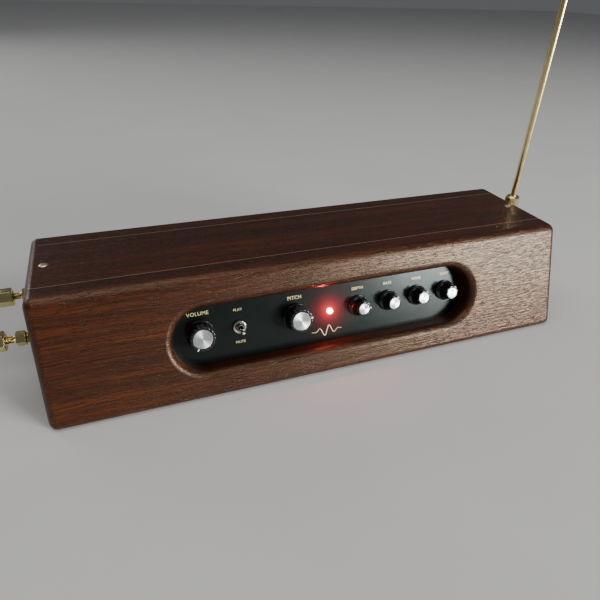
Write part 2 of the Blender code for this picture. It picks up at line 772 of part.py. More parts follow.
side = loop_side()
route = [Vector((-HALF - out, loop_mid_y - wide, FITTING_Z)) for out, wide in side]
route += [Vector((-HALF - out, loop_mid_y + wide, FITTING_Z)) for out, wide in reversed(side[:-1])]
curve = bpy.data.curves.new("volume_loop", "CURVE")
curve.dimensions = "3D"
curve.bevel_depth = TUBE_R
curve.bevel_resolution = 2
curve.use_fill_caps = True
spline = curve.splines.new("POLY")
spline.points.add(len(route) - 1)
for point, place in zip(spline.points, route):
    point.co = (*place, 1)
curve.materials.append(BRASS)
volume_loop = bpy.data.objects.new("volume_loop", curve)
bpy.context.scene.collection.objects.link(volume_loop)


# ---------------------------------------------------------------- rear plate and sockets

REAR_PLATE_LENGTH = 112 * MM
REAR_PLATE_HEIGHT = 54 * MM
REAR_THICK = 1.6 * MM
REAR_BACK = -REAR_THICK - GAP
JACK_X = 18 * MM
JACK_R = 4.6 * MM
JACK_BORE_R = 3.3 * MM
JACK_OUT = 4.5 * MM
JACK_NUT = 13 * MM  # across flats
INLET_X = -18 * MM
INLET_R = 4.1 * MM

bm = bmesh.new()
block(
    bm,
    (-REAR_PLATE_LENGTH / 2, -REAR_PLATE_HEIGHT / 2, -REAR_THICK),
    (REAR_PLATE_LENGTH / 2, REAR_PLATE_HEIGHT / 2, 0),
)
rear_plate = add_object("rear_plate", bm, BLACK_PANEL, rear_frame)
rear_holes = [(JACK_X, 0, JACK_R + GAP), (INLET_X, 0, INLET_R + GAP)]
drill_holes("rear_plate_holes", rear_plate, rear_holes, rear_frame)

# The output jack is a threaded sleeve with an open bore, and a can behind the plate.
bm = bmesh.new()
jack_profile = [
    (0, REAR_BACK - 22 * MM),
    (7 * MM, REAR_BACK - 22 * MM),
    (7 * MM, REAR_BACK),
    (JACK_R, REAR_BACK),
    (JACK_R, JACK_OUT),
    (JACK_BORE_R, JACK_OUT),
    (JACK_BORE_R, REAR_BACK - 19 * MM),
    (0, REAR_BACK - 19 * MM),
]
turned(bm, jack_profile, 16)
add_object("output_jack", bm, NICKEL, rear_frame, (JACK_X, 0, 0))
bm = bmesh.new()
hollow_hex(bm, JACK_NUT, JACK_R + 0.4 * MM, GAP, 2.6 * MM)
add_object("output_jack_nut", bm, NICKEL, rear_frame, (JACK_X, 0, 0))

# The power inlet is a round socket with a centre pin.
bm = bmesh.new()
inlet_profile = [
    (0, REAR_BACK - 12 * MM),
    (6 * MM, REAR_BACK - 12 * MM),
    (6 * MM, REAR_BACK),
    (INLET_R, REAR_BACK),
    (INLET_R, GAP),
    (5.2 * MM, GAP),
    (5.2 * MM, 1.6 * MM),
    (2.9 * MM, 1.6 * MM),
    (2.9 * MM, REAR_BACK - 8 * MM),
    (1.05 * MM, REAR_BACK - 8 * MM),
    (1.05 * MM, 0),
    (0, 0.3 * MM),
]
turned(bm, inlet_profile, 16)
add_object("power_inlet", bm, BLACK_PLASTIC, rear_frame, (INLET_X, 0, 0))


# ---------------------------------------------------------------- circuit board and antenna coils

# The board stands parallel to the panel, on the backs of the potentiometers that are soldered to it.
BOARD_LENGTH = 270 * MM
BOARD_HEIGHT = 44 * MM
BOARD_THICK = 1.6 * MM
CAN_LENGTH = 36 * MM
CAN_HEIGHT = 22 * MM
CAN_DEEP = 12 * MM
board_front = PANEL_BACK - POT_DEEP - GAP
board_back = board_front - BOARD_THICK

bm = bmesh.new()
low = (-BOARD_LENGTH / 2, -BOARD_HEIGHT / 2, board_back)
block(bm, low, (BOARD_LENGTH / 2, BOARD_HEIGHT / 2, board_front))
add_object("circuit_board", bm, LAMINATE, panel_frame)
bm = bmesh.new()
low = (-CAN_LENGTH / 2, -CAN_HEIGHT / 2, board_back - GAP - CAN_DEEP)
block(bm, low, (CAN_LENGTH / 2, CAN_HEIGHT / 2, board_back - GAP))
add_object("oscillator_can", bm, ALUMINIUM, panel_frame)

# A wound coil in series with each antenna stands on the floor near its end of the cabinet.
COIL_R = 12 * MM
COIL_WINDING_R = 10 * MM
COIL_LOW = FLOOR_THICK + GAP
COIL_HIGH = COIL_LOW + 26 * MM
FLANGE_EDGE = 2 * MM
COIL_X = 178 * MM
COIL_Y = 12 * MM
coil_profile = [
    (0, COIL_LOW),
    (COIL_R, COIL_LOW),
    (COIL_R, COIL_LOW + FLANGE_EDGE),
    (COIL_WINDING_R, COIL_LOW + FLANGE_EDGE),
    (COIL_WINDING_R, COIL_HIGH - FLANGE_EDGE),
    (COIL_R, COIL_HIGH - FLANGE_EDGE),
    (COIL_R, COIL_HIGH),
    (0, COIL_HIGH),
]
for name, x in (("volume_coil", -COIL_X), ("pitch_coil", COIL_X)):
    bm = bmesh.new()
    turned(bm, coil_profile, 16)
    add_object(name, bm, COPPER, location=(x, COIL_Y, 0))

# Insulated leads from the coils to the fittings, each on one smooth run.
LEAD_R = 0.9 * MM


def lead(name, knots, steps=14):
    """A thin wire on a smooth curve through three knots: a quadratic Bezier."""
    first, middle, last = (Vector(k) for k in knots)
    run = bpy.data.curves.new(name, "CURVE")
    run.dimensions = "3D"
    run.bevel_depth = LEAD_R
    run.bevel_resolution = 1
    run.use_fill_caps = True
    points = run.splines.new("POLY").points
    points.add(steps)
    for i, point in enumerate(points):
        share = i / steps
        place = first * (1 - share) ** 2 + middle * 2 * share * (1 - share) + last * share**2
        point.co = (*place, 1)
    run.materials.append(COPPER)
    bpy.context.scene.collection.objects.link(bpy.data.objects.new(name, run))


lead_start = COIL_HIGH + LEAD_R + GAP
lead_end = HALF - END_THICK - 9.5 * MM  # just clear of the threads' inner ends
for name, way, y, z in (("volume_lead", -1, LOOP_BACK_Y, FITTING_Z), ("pitch_lead", 1, ROD_Y, ELBOW_Z)):
    lead(
        name,
        [
            (way * COIL_X, COIL_Y, lead_start),
            (way * COIL_X, y - 10 * MM, z - 2 * MM),
            (way * lead_end, y, z),
        ],
    )
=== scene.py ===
"""A theremin: a slant-front sapele cabinet with a recessed control panel, a brass pitch rod and a brass
volume loop.

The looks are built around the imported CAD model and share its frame: +X is the player's right, +Y the back,
+Z up.
"""

import json
from math import asin, cos, pi, radians, sin, tan

import bmesh
import bpy
from mathutils import Matrix, Vector


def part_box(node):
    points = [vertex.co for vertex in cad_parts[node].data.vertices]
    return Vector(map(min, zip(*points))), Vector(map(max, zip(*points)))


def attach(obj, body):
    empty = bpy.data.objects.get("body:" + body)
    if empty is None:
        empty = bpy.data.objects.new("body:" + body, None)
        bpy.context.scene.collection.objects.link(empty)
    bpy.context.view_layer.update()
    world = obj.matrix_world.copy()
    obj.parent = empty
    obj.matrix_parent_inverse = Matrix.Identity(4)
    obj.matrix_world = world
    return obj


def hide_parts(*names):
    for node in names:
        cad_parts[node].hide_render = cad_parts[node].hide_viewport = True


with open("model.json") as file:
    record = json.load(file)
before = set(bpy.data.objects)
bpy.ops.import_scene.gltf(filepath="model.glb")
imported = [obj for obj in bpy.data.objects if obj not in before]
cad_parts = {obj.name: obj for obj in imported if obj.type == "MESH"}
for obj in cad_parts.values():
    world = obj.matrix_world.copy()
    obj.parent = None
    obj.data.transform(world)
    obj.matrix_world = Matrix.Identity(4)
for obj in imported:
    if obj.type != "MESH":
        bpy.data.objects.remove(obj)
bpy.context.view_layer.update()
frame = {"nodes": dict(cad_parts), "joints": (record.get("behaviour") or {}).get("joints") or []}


# ---- Camera
# It stands ahead of the cabinet's left half and above it, and is rolled a little.

MM = 0.001
CAMERA_PLACE = Vector((-160.9, -373.9, 284.7)) * MM
CAMERA_AIM = Vector((0.3125, 0.7886, -0.5296))
CAMERA_TOP = Vector((0.1600, 0.5058, 0.8477))
CAMERA_LENS = 31.04

bpy.ops.object.camera_add()
camera = bpy.context.object
camera_side = CAMERA_AIM.cross(CAMERA_TOP)
camera_turn = Matrix((camera_side, CAMERA_TOP, -CAMERA_AIM)).transposed().to_4x4()
camera.matrix_world = Matrix.Translation(CAMERA_PLACE) @ camera_turn
camera.data.lens = CAMERA_LENS
camera.data.clip_start = 10 * MM
bpy.context.scene.camera = camera


# ---- Studio
# Two softboxes to the right, ahead of the cabinet, give its front the sheen. Soft lights above and behind
# fill the rest, over a pale floor.

FLOOR_SIZE = 12
SKY_STRENGTH = 0.12


def softbox(name, place, aim, width, height, power):
    bpy.ops.object.light_add(type="AREA", location=place)
    box = bpy.context.object
    box.name = name
    box.data.shape = "RECTANGLE"
    box.data.size = width
    box.data.size_y = height
    box.data.energy = power
    box.rotation_euler = (Vector(aim) - Vector(place)).to_track_quat("-Z", "Y").to_euler()


softbox("key_light", (2.2, -2.62, 0.46), (0.1, 0, 0.05), 1.3, 0.86, 125)
softbox("high_light", (2.0, -2.3, 1.75), (0.1, 0, 0.05), 1.2, 0.6, 36)
softbox("top_light", (-0.2, -0.1, 1.9), (0, 0, 0), 1.8, 1.5, 13)
softbox("back_light", (-1.5, 1.9, 1.0), (0, 0, 0.05), 1.0, 0.8, 9)


def new_material(name):
    """A new material, with its nodes, its links and its main shader."""
    made = bpy.data.materials.new(name)
    made.use_nodes = True
    nodes = made.node_tree.nodes
    return made, nodes, made.node_tree.links, nodes["Principled BSDF"]


def put_in(node, values):
    """Sets a node's inputs, each by its name or number."""
    for socket, value in values.items():
        node.inputs[socket].default_value = value


def labelled(nodes, kind, label, values=None, **settings):
    """A new node with its label, its settings and the values of its inputs."""
    node = nodes.new("ShaderNode" + kind)
    node.label = label
    for setting, value in settings.items():
        setattr(node, setting, value)
    put_in(node, values or {})
    return node


def colour_stops(node, *stops):
    """Sets the stops of a colour ramp, each a position and a colour."""
    elements = node.color_ramp.elements
    for _ in stops[2:]:
        elements.new(0.5)
    for element, (position, colour) in zip(elements, stops):
        element.position = position
        element.color = (*colour, 1)


def lay_out(nodes, label, left, height, members):
    """Sets nodes out in a row inside a labelled frame."""
    group = nodes.new("NodeFrame")
    group.label = label
    for step, node in enumerate(members):
        node.location = (left + 200 * step, height)
        node.parent = group


def wire(links, *joins):
    """Links nodes. Each join is a node, its output, the next node and that one's input."""
    for source, output, target, socket in joins:
        links.new(source.outputs[output], target.inputs[socket])


world = bpy.data.worlds.new("studio")
bpy.context.scene.world = world
world.use_nodes = True
put_in(world.node_tree.nodes["Background"], {"Color": (0.86, 0.89, 0.94, 1), "Strength": SKY_STRENGTH})

bpy.ops.mesh.primitive_plane_add(size=FLOOR_SIZE)
floor = bpy.context.object
floor.name = "floor"

paper, nodes, links, shader = new_material("pale_paper")
put_in(shader, {"Roughness": 0.8})
place = labelled(nodes, "TexCoord", "where on the floor")
mottle = labelled(nodes, "TexNoise", "faint mottling of the paper", {"Scale": 9})
tone = labelled(nodes, "ValToRGB", "pale grey, a little uneven")
colour_stops(tone, (0, (0.70, 0.69, 0.67)), (1, (0.76, 0.75, 0.73)))
lay_out(nodes, "paper", -800, 200, (place, mottle, tone))
wire(
    links,
    (place, "Object", mottle, "Vector"),
    (mottle, "Fac", tone, "Fac"),
    (tone, "Color", shader, "Base Color"),
)
floor.data.materials.append(paper)


# ---- Cabinet boards
# Front, back, ends and lid are sapele boards, glued edge to edge. Their outer edges are rounded with a
# quarter-inch cutter after the glue-up, and the whole is sprayed with semi-gloss lacquer. The grain runs
# along each board.

EDGE_ROUND = 6.35 * MM
ROUND_STEPS = 8
LEFT, RIGHT, BACK = Vector((-1, 0, 0)), Vector((1, 0, 0)), Vector((0, 1, 0))
UP, DOWN = Vector((0, 0, 1)), Vector((0, 0, -1))

joints = {joint["name"]: joint for joint in frame["joints"]}
outward = -Vector(joints["pitch_turn"]["axis"])  # the panel's normal, towards the player
lean = asin(outward.z)
up_slope = outward.cross(RIGHT)
controls_middle = Vector((0, *joints["pitch_turn"]["pos_m"][1:]))
panel = Matrix.Translation(controls_middle) @ Matrix((RIGHT, up_slope, outward)).transposed().to_4x4()


def sapele(name, grain_turn, shift, ruddiness):
    """Quarter-sawn sapele: ribbon figure, fine fibres and short dark pores, under lacquer."""
    made, nodes, links, shader = new_material(name)
    put_in(shader, {"Specular IOR Level": 0.68, "Specular Tint": (1, 0.74, 0.50, 1)})
    put_in(shader, {"Coat Weight": 0.06, "Coat Roughness": 0.24})

    place = labelled(nodes, "TexCoord", "in the board's wood")
    laid = {"Location": shift, "Rotation": (0, 0.012, grain_turn)}
    lay = labelled(nodes, "Mapping", "grain along the board", laid)
    wander = labelled(nodes, "TexNoise", "slow wander of the grain", {"Scale": 5, "Detail": 2})
    reach = {1: (0.02, 0.012, 0.012)}
    drift = labelled(nodes, "VectorMath", "how far it wanders", reach, operation="MULTIPLY_ADD")
    lay_out(nodes, "how the grain lies in this board", -2000, 300, (place, lay, wander, drift))

    ribbon_stretch = labelled(nodes, "Mapping", "long, narrow ribbons", {"Scale": (3.5, 75, 75)})
    figure = {"Scale": 1, "Detail": 4, "Roughness": 0.6}
    ribbon = labelled(nodes, "TexNoise", "light and dark ribbons", figure)
    ribbon_colour = labelled(nodes, "ValToRGB", "dark, middle and pale heartwood")
    colour_stops(
        ribbon_colour,
        (0.3, (0.023 * ruddiness, 0.0039, 0.0012)),
        (0.5, (0.041 * ruddiness, 0.0072, 0.0019)),
        (0.72, (0.084 * ruddiness, 0.0170, 0.0042)),
    )
    lay_out(nodes, "ribbon figure", -1100, 500, (ribbon_stretch, ribbon, ribbon_colour))

    fibre_stretch = labelled(nodes, "Mapping", "threads a millimetre wide", {"Scale": (24, 900, 900)})
    fibre = labelled(nodes, "TexNoise", "fibres", {"Scale": 1, "Detail": 2.5, "Roughness": 0.55})
    shading = {"From Min": 0.3, "From Max": 0.7, "To Min": 0.4, "To Max": 1.55}
    fibre_shade = labelled(nodes, "MapRange", "how much they shade the wood", shading)
    lay_out(nodes, "fibres", -1100, 100, (fibre_stretch, fibre, fibre_shade))

    pore_stretch = labelled(nodes, "Mapping", "short dashes along the grain", {"Scale": (150, 1700, 1700)})
    pore = labelled(nodes, "TexNoise", "scattered pores", {"Scale": 1, "Detail": 1})
    deepest = {"From Min": 0.36, "From Max": 0.46}
    pore_edge = labelled(nodes, "MapRange", "only the deepest are open", deepest)
    lay_out(nodes, "pores", -1100, -300, (pore_stretch, pore, pore_edge))

    shaded = labelled(nodes, "VectorMath", "ribbons shaded by fibres", operation="MULTIPLY")
    pore_dark = {6: (0.016, 0.0030, 0.0010, 1)}
    pored = labelled(nodes, "Mix", "dark inside the pores", pore_dark, data_type="RGBA")
    lay_out(nodes, "colour", -450, 300, (shaded, pored))

    gloss = labelled(nodes, "MapRange", "fibres break up the gloss", {"To Min": 0.22, "To Max": 0.42})
    relief = labelled(nodes, "Math", "fibres and pores together", {1: 2.2}, operation="MULTIPLY_ADD")
    bump = labelled(nodes, "Bump", "grain telegraphs through", {"Strength": 0.8, "Distance": 0.00016})
    lay_out(nodes, "gloss and relief under the lacquer", -450, -200, (gloss, relief, bump))

    for stretch, pattern in ((ribbon_stretch, ribbon), (fibre_stretch, fibre), (pore_stretch, pore)):
        wire(links, (drift, "Vector", stretch, "Vector"), (stretch, "Vector", pattern, "Vector"))
    wire(
        links,
        (place, "Object", lay, "Vector"),
        (lay, "Vector", wander, "Vector"),
        (wander, "Color", drift, 0),
        (lay, "Vector", drift, 2),
        (ribbon, "Fac", ribbon_colour, "Fac"),
        (fibre, "Fac", fibre_shade, "Value"),
        (pore, "Fac", pore_edge, "Value"),
        (ribbon_colour, "Color", shaded, 0),
        (fibre_shade, "Result", shaded, 1),
        (pore_edge, "Result", pored, 0),
        (shaded, "Vector", pored, 7),
        (pored, 2, shader, "Base Color"),
        (fibre, "Fac", gloss, "Value"),
        (gloss, "Result", shader, "Roughness"),
        (fibre, "Fac", relief, 0),
        (pore_edge, "Result", relief, 2),
        (relief, "Value", bump, "Height"),
        (bump, "Normal", shader, "Normal"),
    )
    return made


def select(*things):
    bpy.ops.object.select_all(action="DESELECT")
    for thing in things:
        thing.select_set(True)
    bpy.context.view_layer.objects.active = things[0]


def choose(kind, test):
    """In edit mode, selects the vertices, edges or faces that pass a test."""
    bpy.ops.mesh.select_mode(type=kind)
    bpy.ops.mesh.select_all(action="DESELECT")
    shape = bmesh.from_edit_mesh(bpy.context.object.data)
    for element in {"VERT": shape.verts, "EDGE": shape.edges, "FACE": shape.faces}[kind]:
        if test(element):
            element.select_set(True)
    shape.select_flush_mode()
    bmesh.update_edit_mesh(bpy.context.object.data)


def block(name, low, high):
    """A rectangular blank, to be shaped."""
    bpy.ops.mesh.primitive_cube_add(size=1, location=(low + high) / 2, scale=high - low)
    piece = bpy.context.object
    piece.name = name
    bpy.ops.object.transform_apply(location=True, rotation=True, scale=True)
    return piece


def modify(piece, kind, **settings):
    """Gives a piece a modifier with these settings, and applies it."""
    select(piece)
    modifier = piece.modifiers.new(kind.lower(), kind)
    for setting, value in settings.items():
        setattr(modifier, setting, value)
    bpy.ops.object.modifier_apply(modifier=modifier.name)


def cut(piece, cutter, operation="DIFFERENCE"):
    """Takes the cutter out of the piece, or joins it on, or keeps what they share."""
    modify(piece, "BOOLEAN", operation=operation, object=cutter)
    bpy.data.objects.remove(cutter)


def cylinder(radius, depth, middle=(0, 0, 0), vertices=48, tilt=0):
    """A cylinder about a point. It stands upright unless tilted about Y."""
    bpy.ops.mesh.primitive_cylinder_add(
        vertices=vertices, radius=radius, depth=depth, location=middle, rotation=(0, tilt, 0)
    )
    return bpy.context.object


def middle_of(node):
    low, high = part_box(node)
    return (low + high) / 2


def paint(finish, *nodes):
    """Gives solids that are right as they are their material."""
    for node in nodes:
        slots = frame["nodes"][node].data.materials
        slots.clear()
        slots.append(finish)


def fit(piece, finish, body, slot, *nodes, angle=30):
    """Gives a finished piece its place, shading and material, and says what it rides on and stands for."""
    select(piece)
    bpy.ops.object.transform_apply(location=True, rotation=True, scale=True)
    bpy.ops.object.shade_smooth_by_angle(angle=radians(angle))
    piece.data.materials.clear()
    piece.data.materials.append(finish)
    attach(piece, body)
    if nodes:
        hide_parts(*nodes)


def board(node, outer, back_leans=False):
    """A blank with its front edge leaning as the cabinet's front does, and its outer edges rounded."""
    low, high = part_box(node)
    run = (high.z - low.z) * tan(lean)
    piece = block(node + "_wood", low, high)
    bpy.ops.object.mode_set(mode="EDIT")
    middle = (low + high) / 2
    choose("VERT", lambda v: v.co.y < middle.y and v.co.z > middle.z)
    bpy.ops.transform.translate(value=(0, 0 if node == "back_board" else run, 0))
    if back_leans:
        choose("VERT", lambda v: v.co.y > middle.y and v.co.z < middle.z)
        bpy.ops.transform.translate(value=(0, -run, 0))
    bpy.ops.mesh.select_all(action="SELECT")
    bpy.ops.mesh.normals_make_consistent(inside=False)
    choose("EDGE", lambda e: all(any(f.normal.dot(n) > 0.99 for n in outer) for f in e.link_faces))
    bpy.ops.mesh.bevel(offset=EDGE_ROUND, segments=ROUND_STEPS, profile=0.5, affect="EDGES")
    bpy.ops.object.mode_set(mode="OBJECT")
    return piece


def stadium_hole(piece, place, length, height, face_out):
    """Cuts a round-ended slot through a board and rounds its outer edge. place has Z out of the board."""
    ends = []
    for way in (-1, 1):
        ends.append(cylinder(height / 2, CUTTER_LONG, (way * (length - height) / 2, 0, 0), 96))
    select(*ends)
    bpy.ops.object.join()
    cutter = bpy.context.object
    bpy.ops.object.transform_apply(location=True, rotation=True, scale=True)
    bpy.ops.object.mode_set(mode="EDIT")
    bpy.ops.mesh.select_all(action="SELECT")
    bpy.ops.mesh.convex_hull()
    bpy.ops.object.mode_set(mode="OBJECT")
    cutter.matrix_world = place
    bpy.context.view_layer.update()
    cut(piece, cutter)
    back_to_place = place.inverted()
    bpy.ops.object.mode_set(mode="EDIT")

    def on_rim(edge):
        points = [back_to_place @ v.co for v in edge.verts]
        level = all(abs(p.z - face_out) < 0.02 * MM for p in points)
        return level and all(abs(p.x) < length / 2 + MM and abs(p.y) < height / 2 + MM for p in points)

    choose("EDGE", lambda e: on_rim(e) and e.calc_face_angle(0) > radians(60))
    bpy.ops.mesh.bevel(offset=EDGE_ROUND, segments=ROUND_STEPS, profile=0.5, affect="EDGES")
    bpy.ops.object.mode_set(mode="OBJECT")


def even_shading(piece):
    """Keeps the flat faces flat where a rounded edge runs into them."""
    modify(piece, "WEIGHTED_NORMAL", keep_sharp=True)


CONTROL_UP = 0.8 * MM  # of the controls' line above the opening's middle
OPENING_LENGTH = 268 * MM
OPENING_HEIGHT = 52 * MM
REAR_OPENING_LENGTH = 92 * MM
REAR_OPENING_HEIGHT = 36 * MM
CUTTER_LONG = 90 * MM
FITTING_HOLE_R = 5.1 * MM
SINK_LOW_R = 2.2 * MM
SINK_HIGH_R = 3.95 * MM
SINK_DEEP = 2.6 * MM

front_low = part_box("front_board")[0]
back_low, back_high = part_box("back_board")
face_out = (Vector((0, front_low.y, 0)) - controls_middle).dot(outward)
opening = panel @ Matrix.Translation((0, -CONTROL_UP, 0))
rear_middle = Vector((0, back_low.y, middle_of("output_jack").z))
rear = Matrix.Translation(rear_middle) @ Matrix((LEFT, UP, BACK)).transposed().to_4x4()

front_wood = board("front_board", (outward, LEFT, RIGHT, UP, DOWN), back_leans=True)
stadium_hole(front_wood, opening, OPENING_LENGTH, OPENING_HEIGHT, face_out)
back_wood = board("back_board", (BACK, LEFT, RIGHT, UP, DOWN))
stadium_hole(back_wood, rear, REAR_OPENING_LENGTH, REAR_OPENING_HEIGHT, back_high.y - back_low.y)
lid_wood = board("top_lid", (LEFT, RIGHT, UP))
left_wood = board("left_end_board", (LEFT, DOWN))
right_wood = board("right_end_board", (RIGHT, DOWN))

fitting_holes = (
    (left_wood, "loop_fitting_front"),
    (left_wood, "loop_fitting_back"),
    (right_wood, "elbow_locknut"),
)
for piece, node in fitting_holes:
    cut(piece, cylinder(FITTING_HOLE_R, 80 * MM, middle_of(node), tilt=pi / 2))
for side in ("left", "right"):
    x, y, _ = middle_of("lid_screw_" + side)
    sink_place = (x, y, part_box("lid_screw_" + side)[1].z - 0.9 * MM)
    bpy.ops.mesh.primitive_cone_add(
        vertices=48, radius1=SINK_LOW_R, radius2=SINK_HIGH_R, depth=SINK_DEEP, location=sink_place
    )
    cut(lid_wood, bpy.context.object)

long_grain, end_grain_turn = 0, pi / 2
boards = (
    (front_wood, "front_board", long_grain, (0.31, 0.02, 0.11), 1.0),
    (back_wood, "back_board", long_grain, (0.93, 0.27, 0.42), 0.95),
    (lid_wood, "top_lid", long_grain, (1.62, 0.54, 0.17), 1.06),
    (left_wood, "left_end_board", end_grain_turn, (2.31, 0.35, 0.63), 0.97),
    (right_wood, "right_end_board", end_grain_turn, (2.94, 0.81, 0.29), 1.02),
)
for piece, node, turn, shift, ruddiness in boards:
    fit(piece, sapele("sapele_" + node, turn, shift, ruddiness), "cabinet", "sapele", node)
    even_shading(piece)
paint(sapele("sapele_bottom", long_grain, (3.4, 0.1, 0.7), 0.9), "bottom_board")


# ---- Joint lines
# The lid's two long joints show as thin pale lines, flush with the top.


def moulded(name, colour, roughness, grain_size, grain_depth, surface=None):
    """Plastic, paint or filler in one colour, with a fine tooth and a slight unevenness in its gloss."""
    made, nodes, links, shader = new_material(name)
    put_in(shader, surface or {})
    place = labelled(nodes, "TexCoord", "in the piece")
    grain = {"Scale": 1 / grain_size, "Detail": 3}
    tooth = labelled(nodes, "TexNoise", "tooth left by the mould or the spray", grain)
    bump = labelled(nodes, "Bump", "raises the tooth", {"Strength": 0.5, "Distance": grain_depth})
    lay_out(nodes, "fine tooth", -900, -200, (place, tooth, bump))
    smear = labelled(nodes, "TexNoise", "where fingers dull or shine it", {"Scale": 60})
    gloss_range = {"To Min": roughness * 0.85, "To Max": roughness * 1.15}
    gloss = labelled(nodes, "MapRange", "range of gloss", gloss_range)
    shades = {6: (*colour, 1), 7: (*(c * 1.12 + 0.001 for c in colour), 1)}
    shade = labelled(nodes, "Mix", "slightly paler where it is dulled", shades, data_type="RGBA")
    lay_out(nodes, "handling marks", -700, 200, (smear, gloss, shade))
    wire(
        links,
        (place, "Object", tooth, "Vector"),
        (place, "Object", smear, "Vector"),
        (tooth, "Fac", bump, "Height"),
        (bump, "Normal", shader, "Normal"),
        (smear, "Fac", gloss, "Value"),
        (gloss, "Result", shader, "Roughness"),
        (smear, "Fac", shade, 0),
        (shade, 2, shader, "Base Color"),
    )
    return made


pale_joint_finish = moulded("pale_joint_strip", (0.30, 0.17, 0.125), 0.3, 0.4 * MM, 0.02 * MM)
lid_low, lid_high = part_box("top_lid")
run = (lid_high.z - lid_low.z) * tan(lean)
joint_half = lid_high.x - EDGE_ROUND
for name, y in (("front", lid_low.y + run - 0.15 * MM), ("back", lid_high.y + 0.15 * MM)):
    line = block(
        "pale_joint_line_" + name,
        Vector((-joint_half, y - 0.25 * MM, lid_high.z - 1.2 * MM)),
        Vector((joint_half, y + 0.25 * MM, lid_high.z + 0.03 * MM)),
    )
    bpy.ops.object.mode_set(mode="EDIT")
    choose("EDGE", lambda e: all(v.co.z > lid_high.z for v in e.verts))
    bpy.ops.mesh.bevel(offset=0.08 * MM, segments=2, affect="EDGES")
    bpy.ops.object.mode_set(mode="OBJECT")
    fit(line, pale_joint_finish, "cabinet", "sapele")


# ---- Lid screws
# Two plated brass wood screws with slotted, slightly domed heads, sunk into the lid.


def metal(name, colour, roughness, scratch_size, tarnish):
    """Bare or plated metal: hair scratches in its gloss, and a darker film where it is tarnished."""
    made, nodes, links, shader = new_material(name)
    put_in(shader, {"Metallic": 1})
    place = labelled(nodes, "TexCoord", "in the piece")
    cloud = labelled(nodes, "TexNoise", "clouds of tarnish", {"Scale": 130, "Detail": 4})
    film = labelled(nodes, "ValToRGB", "tarnished to clean")
    colour_stops(film, (0.35, [c * (1 - tarnish) for c in colour]), (0.65, colour))
    lay_out(nodes, "tarnish", -900, 250, (place, cloud, film))
    scratch = labelled(nodes, "TexNoise", "hair scratches", {"Scale": 1 / scratch_size, "Detail": 5})
    gloss_range = {"To Min": roughness * 0.7, "To Max": roughness * 1.4}
    gloss = labelled(nodes, "MapRange", "range of gloss", gloss_range)
    bump = labelled(nodes, "Bump", "depth of the scratches", {"Strength": 0.25, "Distance": 0.00002})
    lay_out(nodes, "hair scratches", -700, -150, (scratch, gloss, bump))
    wire(
        links,
        (place, "Object", cloud, "Vector"),
        (place, "Object", scratch, "Vector"),
        (cloud, "Fac", film, "Fac"),
        (film, "Color", shader, "Base Color"),
        (scratch, "Fac", gloss, "Value"),
        (gloss, "Result", shader, "Roughness"),
        (scratch, "Fac", bump, "Height"),
        (bump, "Normal", shader, "Normal"),
    )
    return made


def new_piece(name, data):
    """Puts new mesh or curve data in the scene as a piece, and selects it."""
    piece = bpy.data.objects.new(name, data)
    bpy.context.scene.collection.objects.link(piece)
    select(piece)
    return piece


def turned(name, outline, steps=64, closed=False):
    """Spins an outline about Z. Its points are (radius, height); a closed outline makes a ring."""
    shape = bpy.data.meshes.new(name)
    edges = [(i, i + 1) for i in range(len(outline) - 1)]
    if closed:
        edges.append((len(outline) - 1, 0))
    shape.from_pydata([(radius, 0, height) for radius, height in outline], edges, [])
    piece = new_piece(name, shape)
    bpy.ops.object.mode_set(mode="EDIT")
    bpy.ops.mesh.select_all(action="SELECT")
    bpy.ops.mesh.spin(steps=steps, angle=2 * pi, center=(0, 0, 0), axis=(0, 0, 1))
    bpy.ops.mesh.select_all(action="SELECT")
    bpy.ops.mesh.remove_doubles(threshold=0.002 * MM)
    bpy.ops.mesh.normals_make_consistent(inside=False)
    bpy.ops.object.mode_set(mode="OBJECT")
    return piece


def arc(centre, radius, start, end, steps):
    """Points of an outline along an arc, its angles in degrees from +X."""
    turns = [radians(start + (end - start) * i / steps) for i in range(steps + 1)]
    return [(centre[0] + radius * cos(a), centre[1] + radius * sin(a)) for a in turns]


def put(piece, place):
    """Moves a piece, modelled about the origin, to its place."""
    piece.matrix_basis = place @ piece.matrix_basis
    bpy.context.view_layer.update()


screw_brass = metal("plated_brass_screw", (0.92, 0.82, 0.58), 0.3, 0.35 * MM, 0.15)
HEAD_R = 3.4 * MM
head_outline = [
    (0, 0.55 * MM),
    (1.2 * MM, 0.5 * MM),
    (2.2 * MM, 0.36 * MM),
    (3 * MM, 0.12 * MM),
    (HEAD_R, -0.15 * MM),
    (HEAD_R, -0.35 * MM),
    (1.6 * MM, -2.2 * MM),
    (1.45 * MM, -8 * MM),
    (0, -9.5 * MM),
]
SLOT_LOW, SLOT_HIGH = Vector((-5, -0.35, -0.7)) * MM, Vector((5, 0.35, 3)) * MM
for side, slot_turn in (("left", radians(4)), ("right", radians(97))):
    x, y, _ = middle_of("lid_screw_" + side)
    head = turned("lid_screw_head_" + side, head_outline, 48)
    cut(head, block("slot", SLOT_LOW, SLOT_HIGH))
    screw_place = Matrix.Translation((x, y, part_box("lid_screw_" + side)[1].z))
    put(head, screw_place @ Matrix.Rotation(slot_turn, 4, "Z"))
    fit(head, screw_brass, "cabinet", "screw_brass", "lid_screw_" + side)


# ---- Control panel
# A plate painted satin black, behind the opening. Lettering and a small wave are screen-printed on it in
# gold.

INK_THICK = 0.03 * MM
green_sheen = {"Specular IOR Level": 0.32, "Specular Tint": (0.86, 1, 0.95, 1)}
panel_paint = moulded(
    "satin_black_paint", (0.0035, 0.0055, 0.0050), 0.23, 0.25 * MM, 0.008 * MM, green_sheen
)
paint(panel_paint, "rear_plate")
gold_ink = moulded("gold_ink", (0.82, 0.68, 0.34), 0.42, 0.2 * MM, 0.01 * MM, {"Metallic": 0.3})


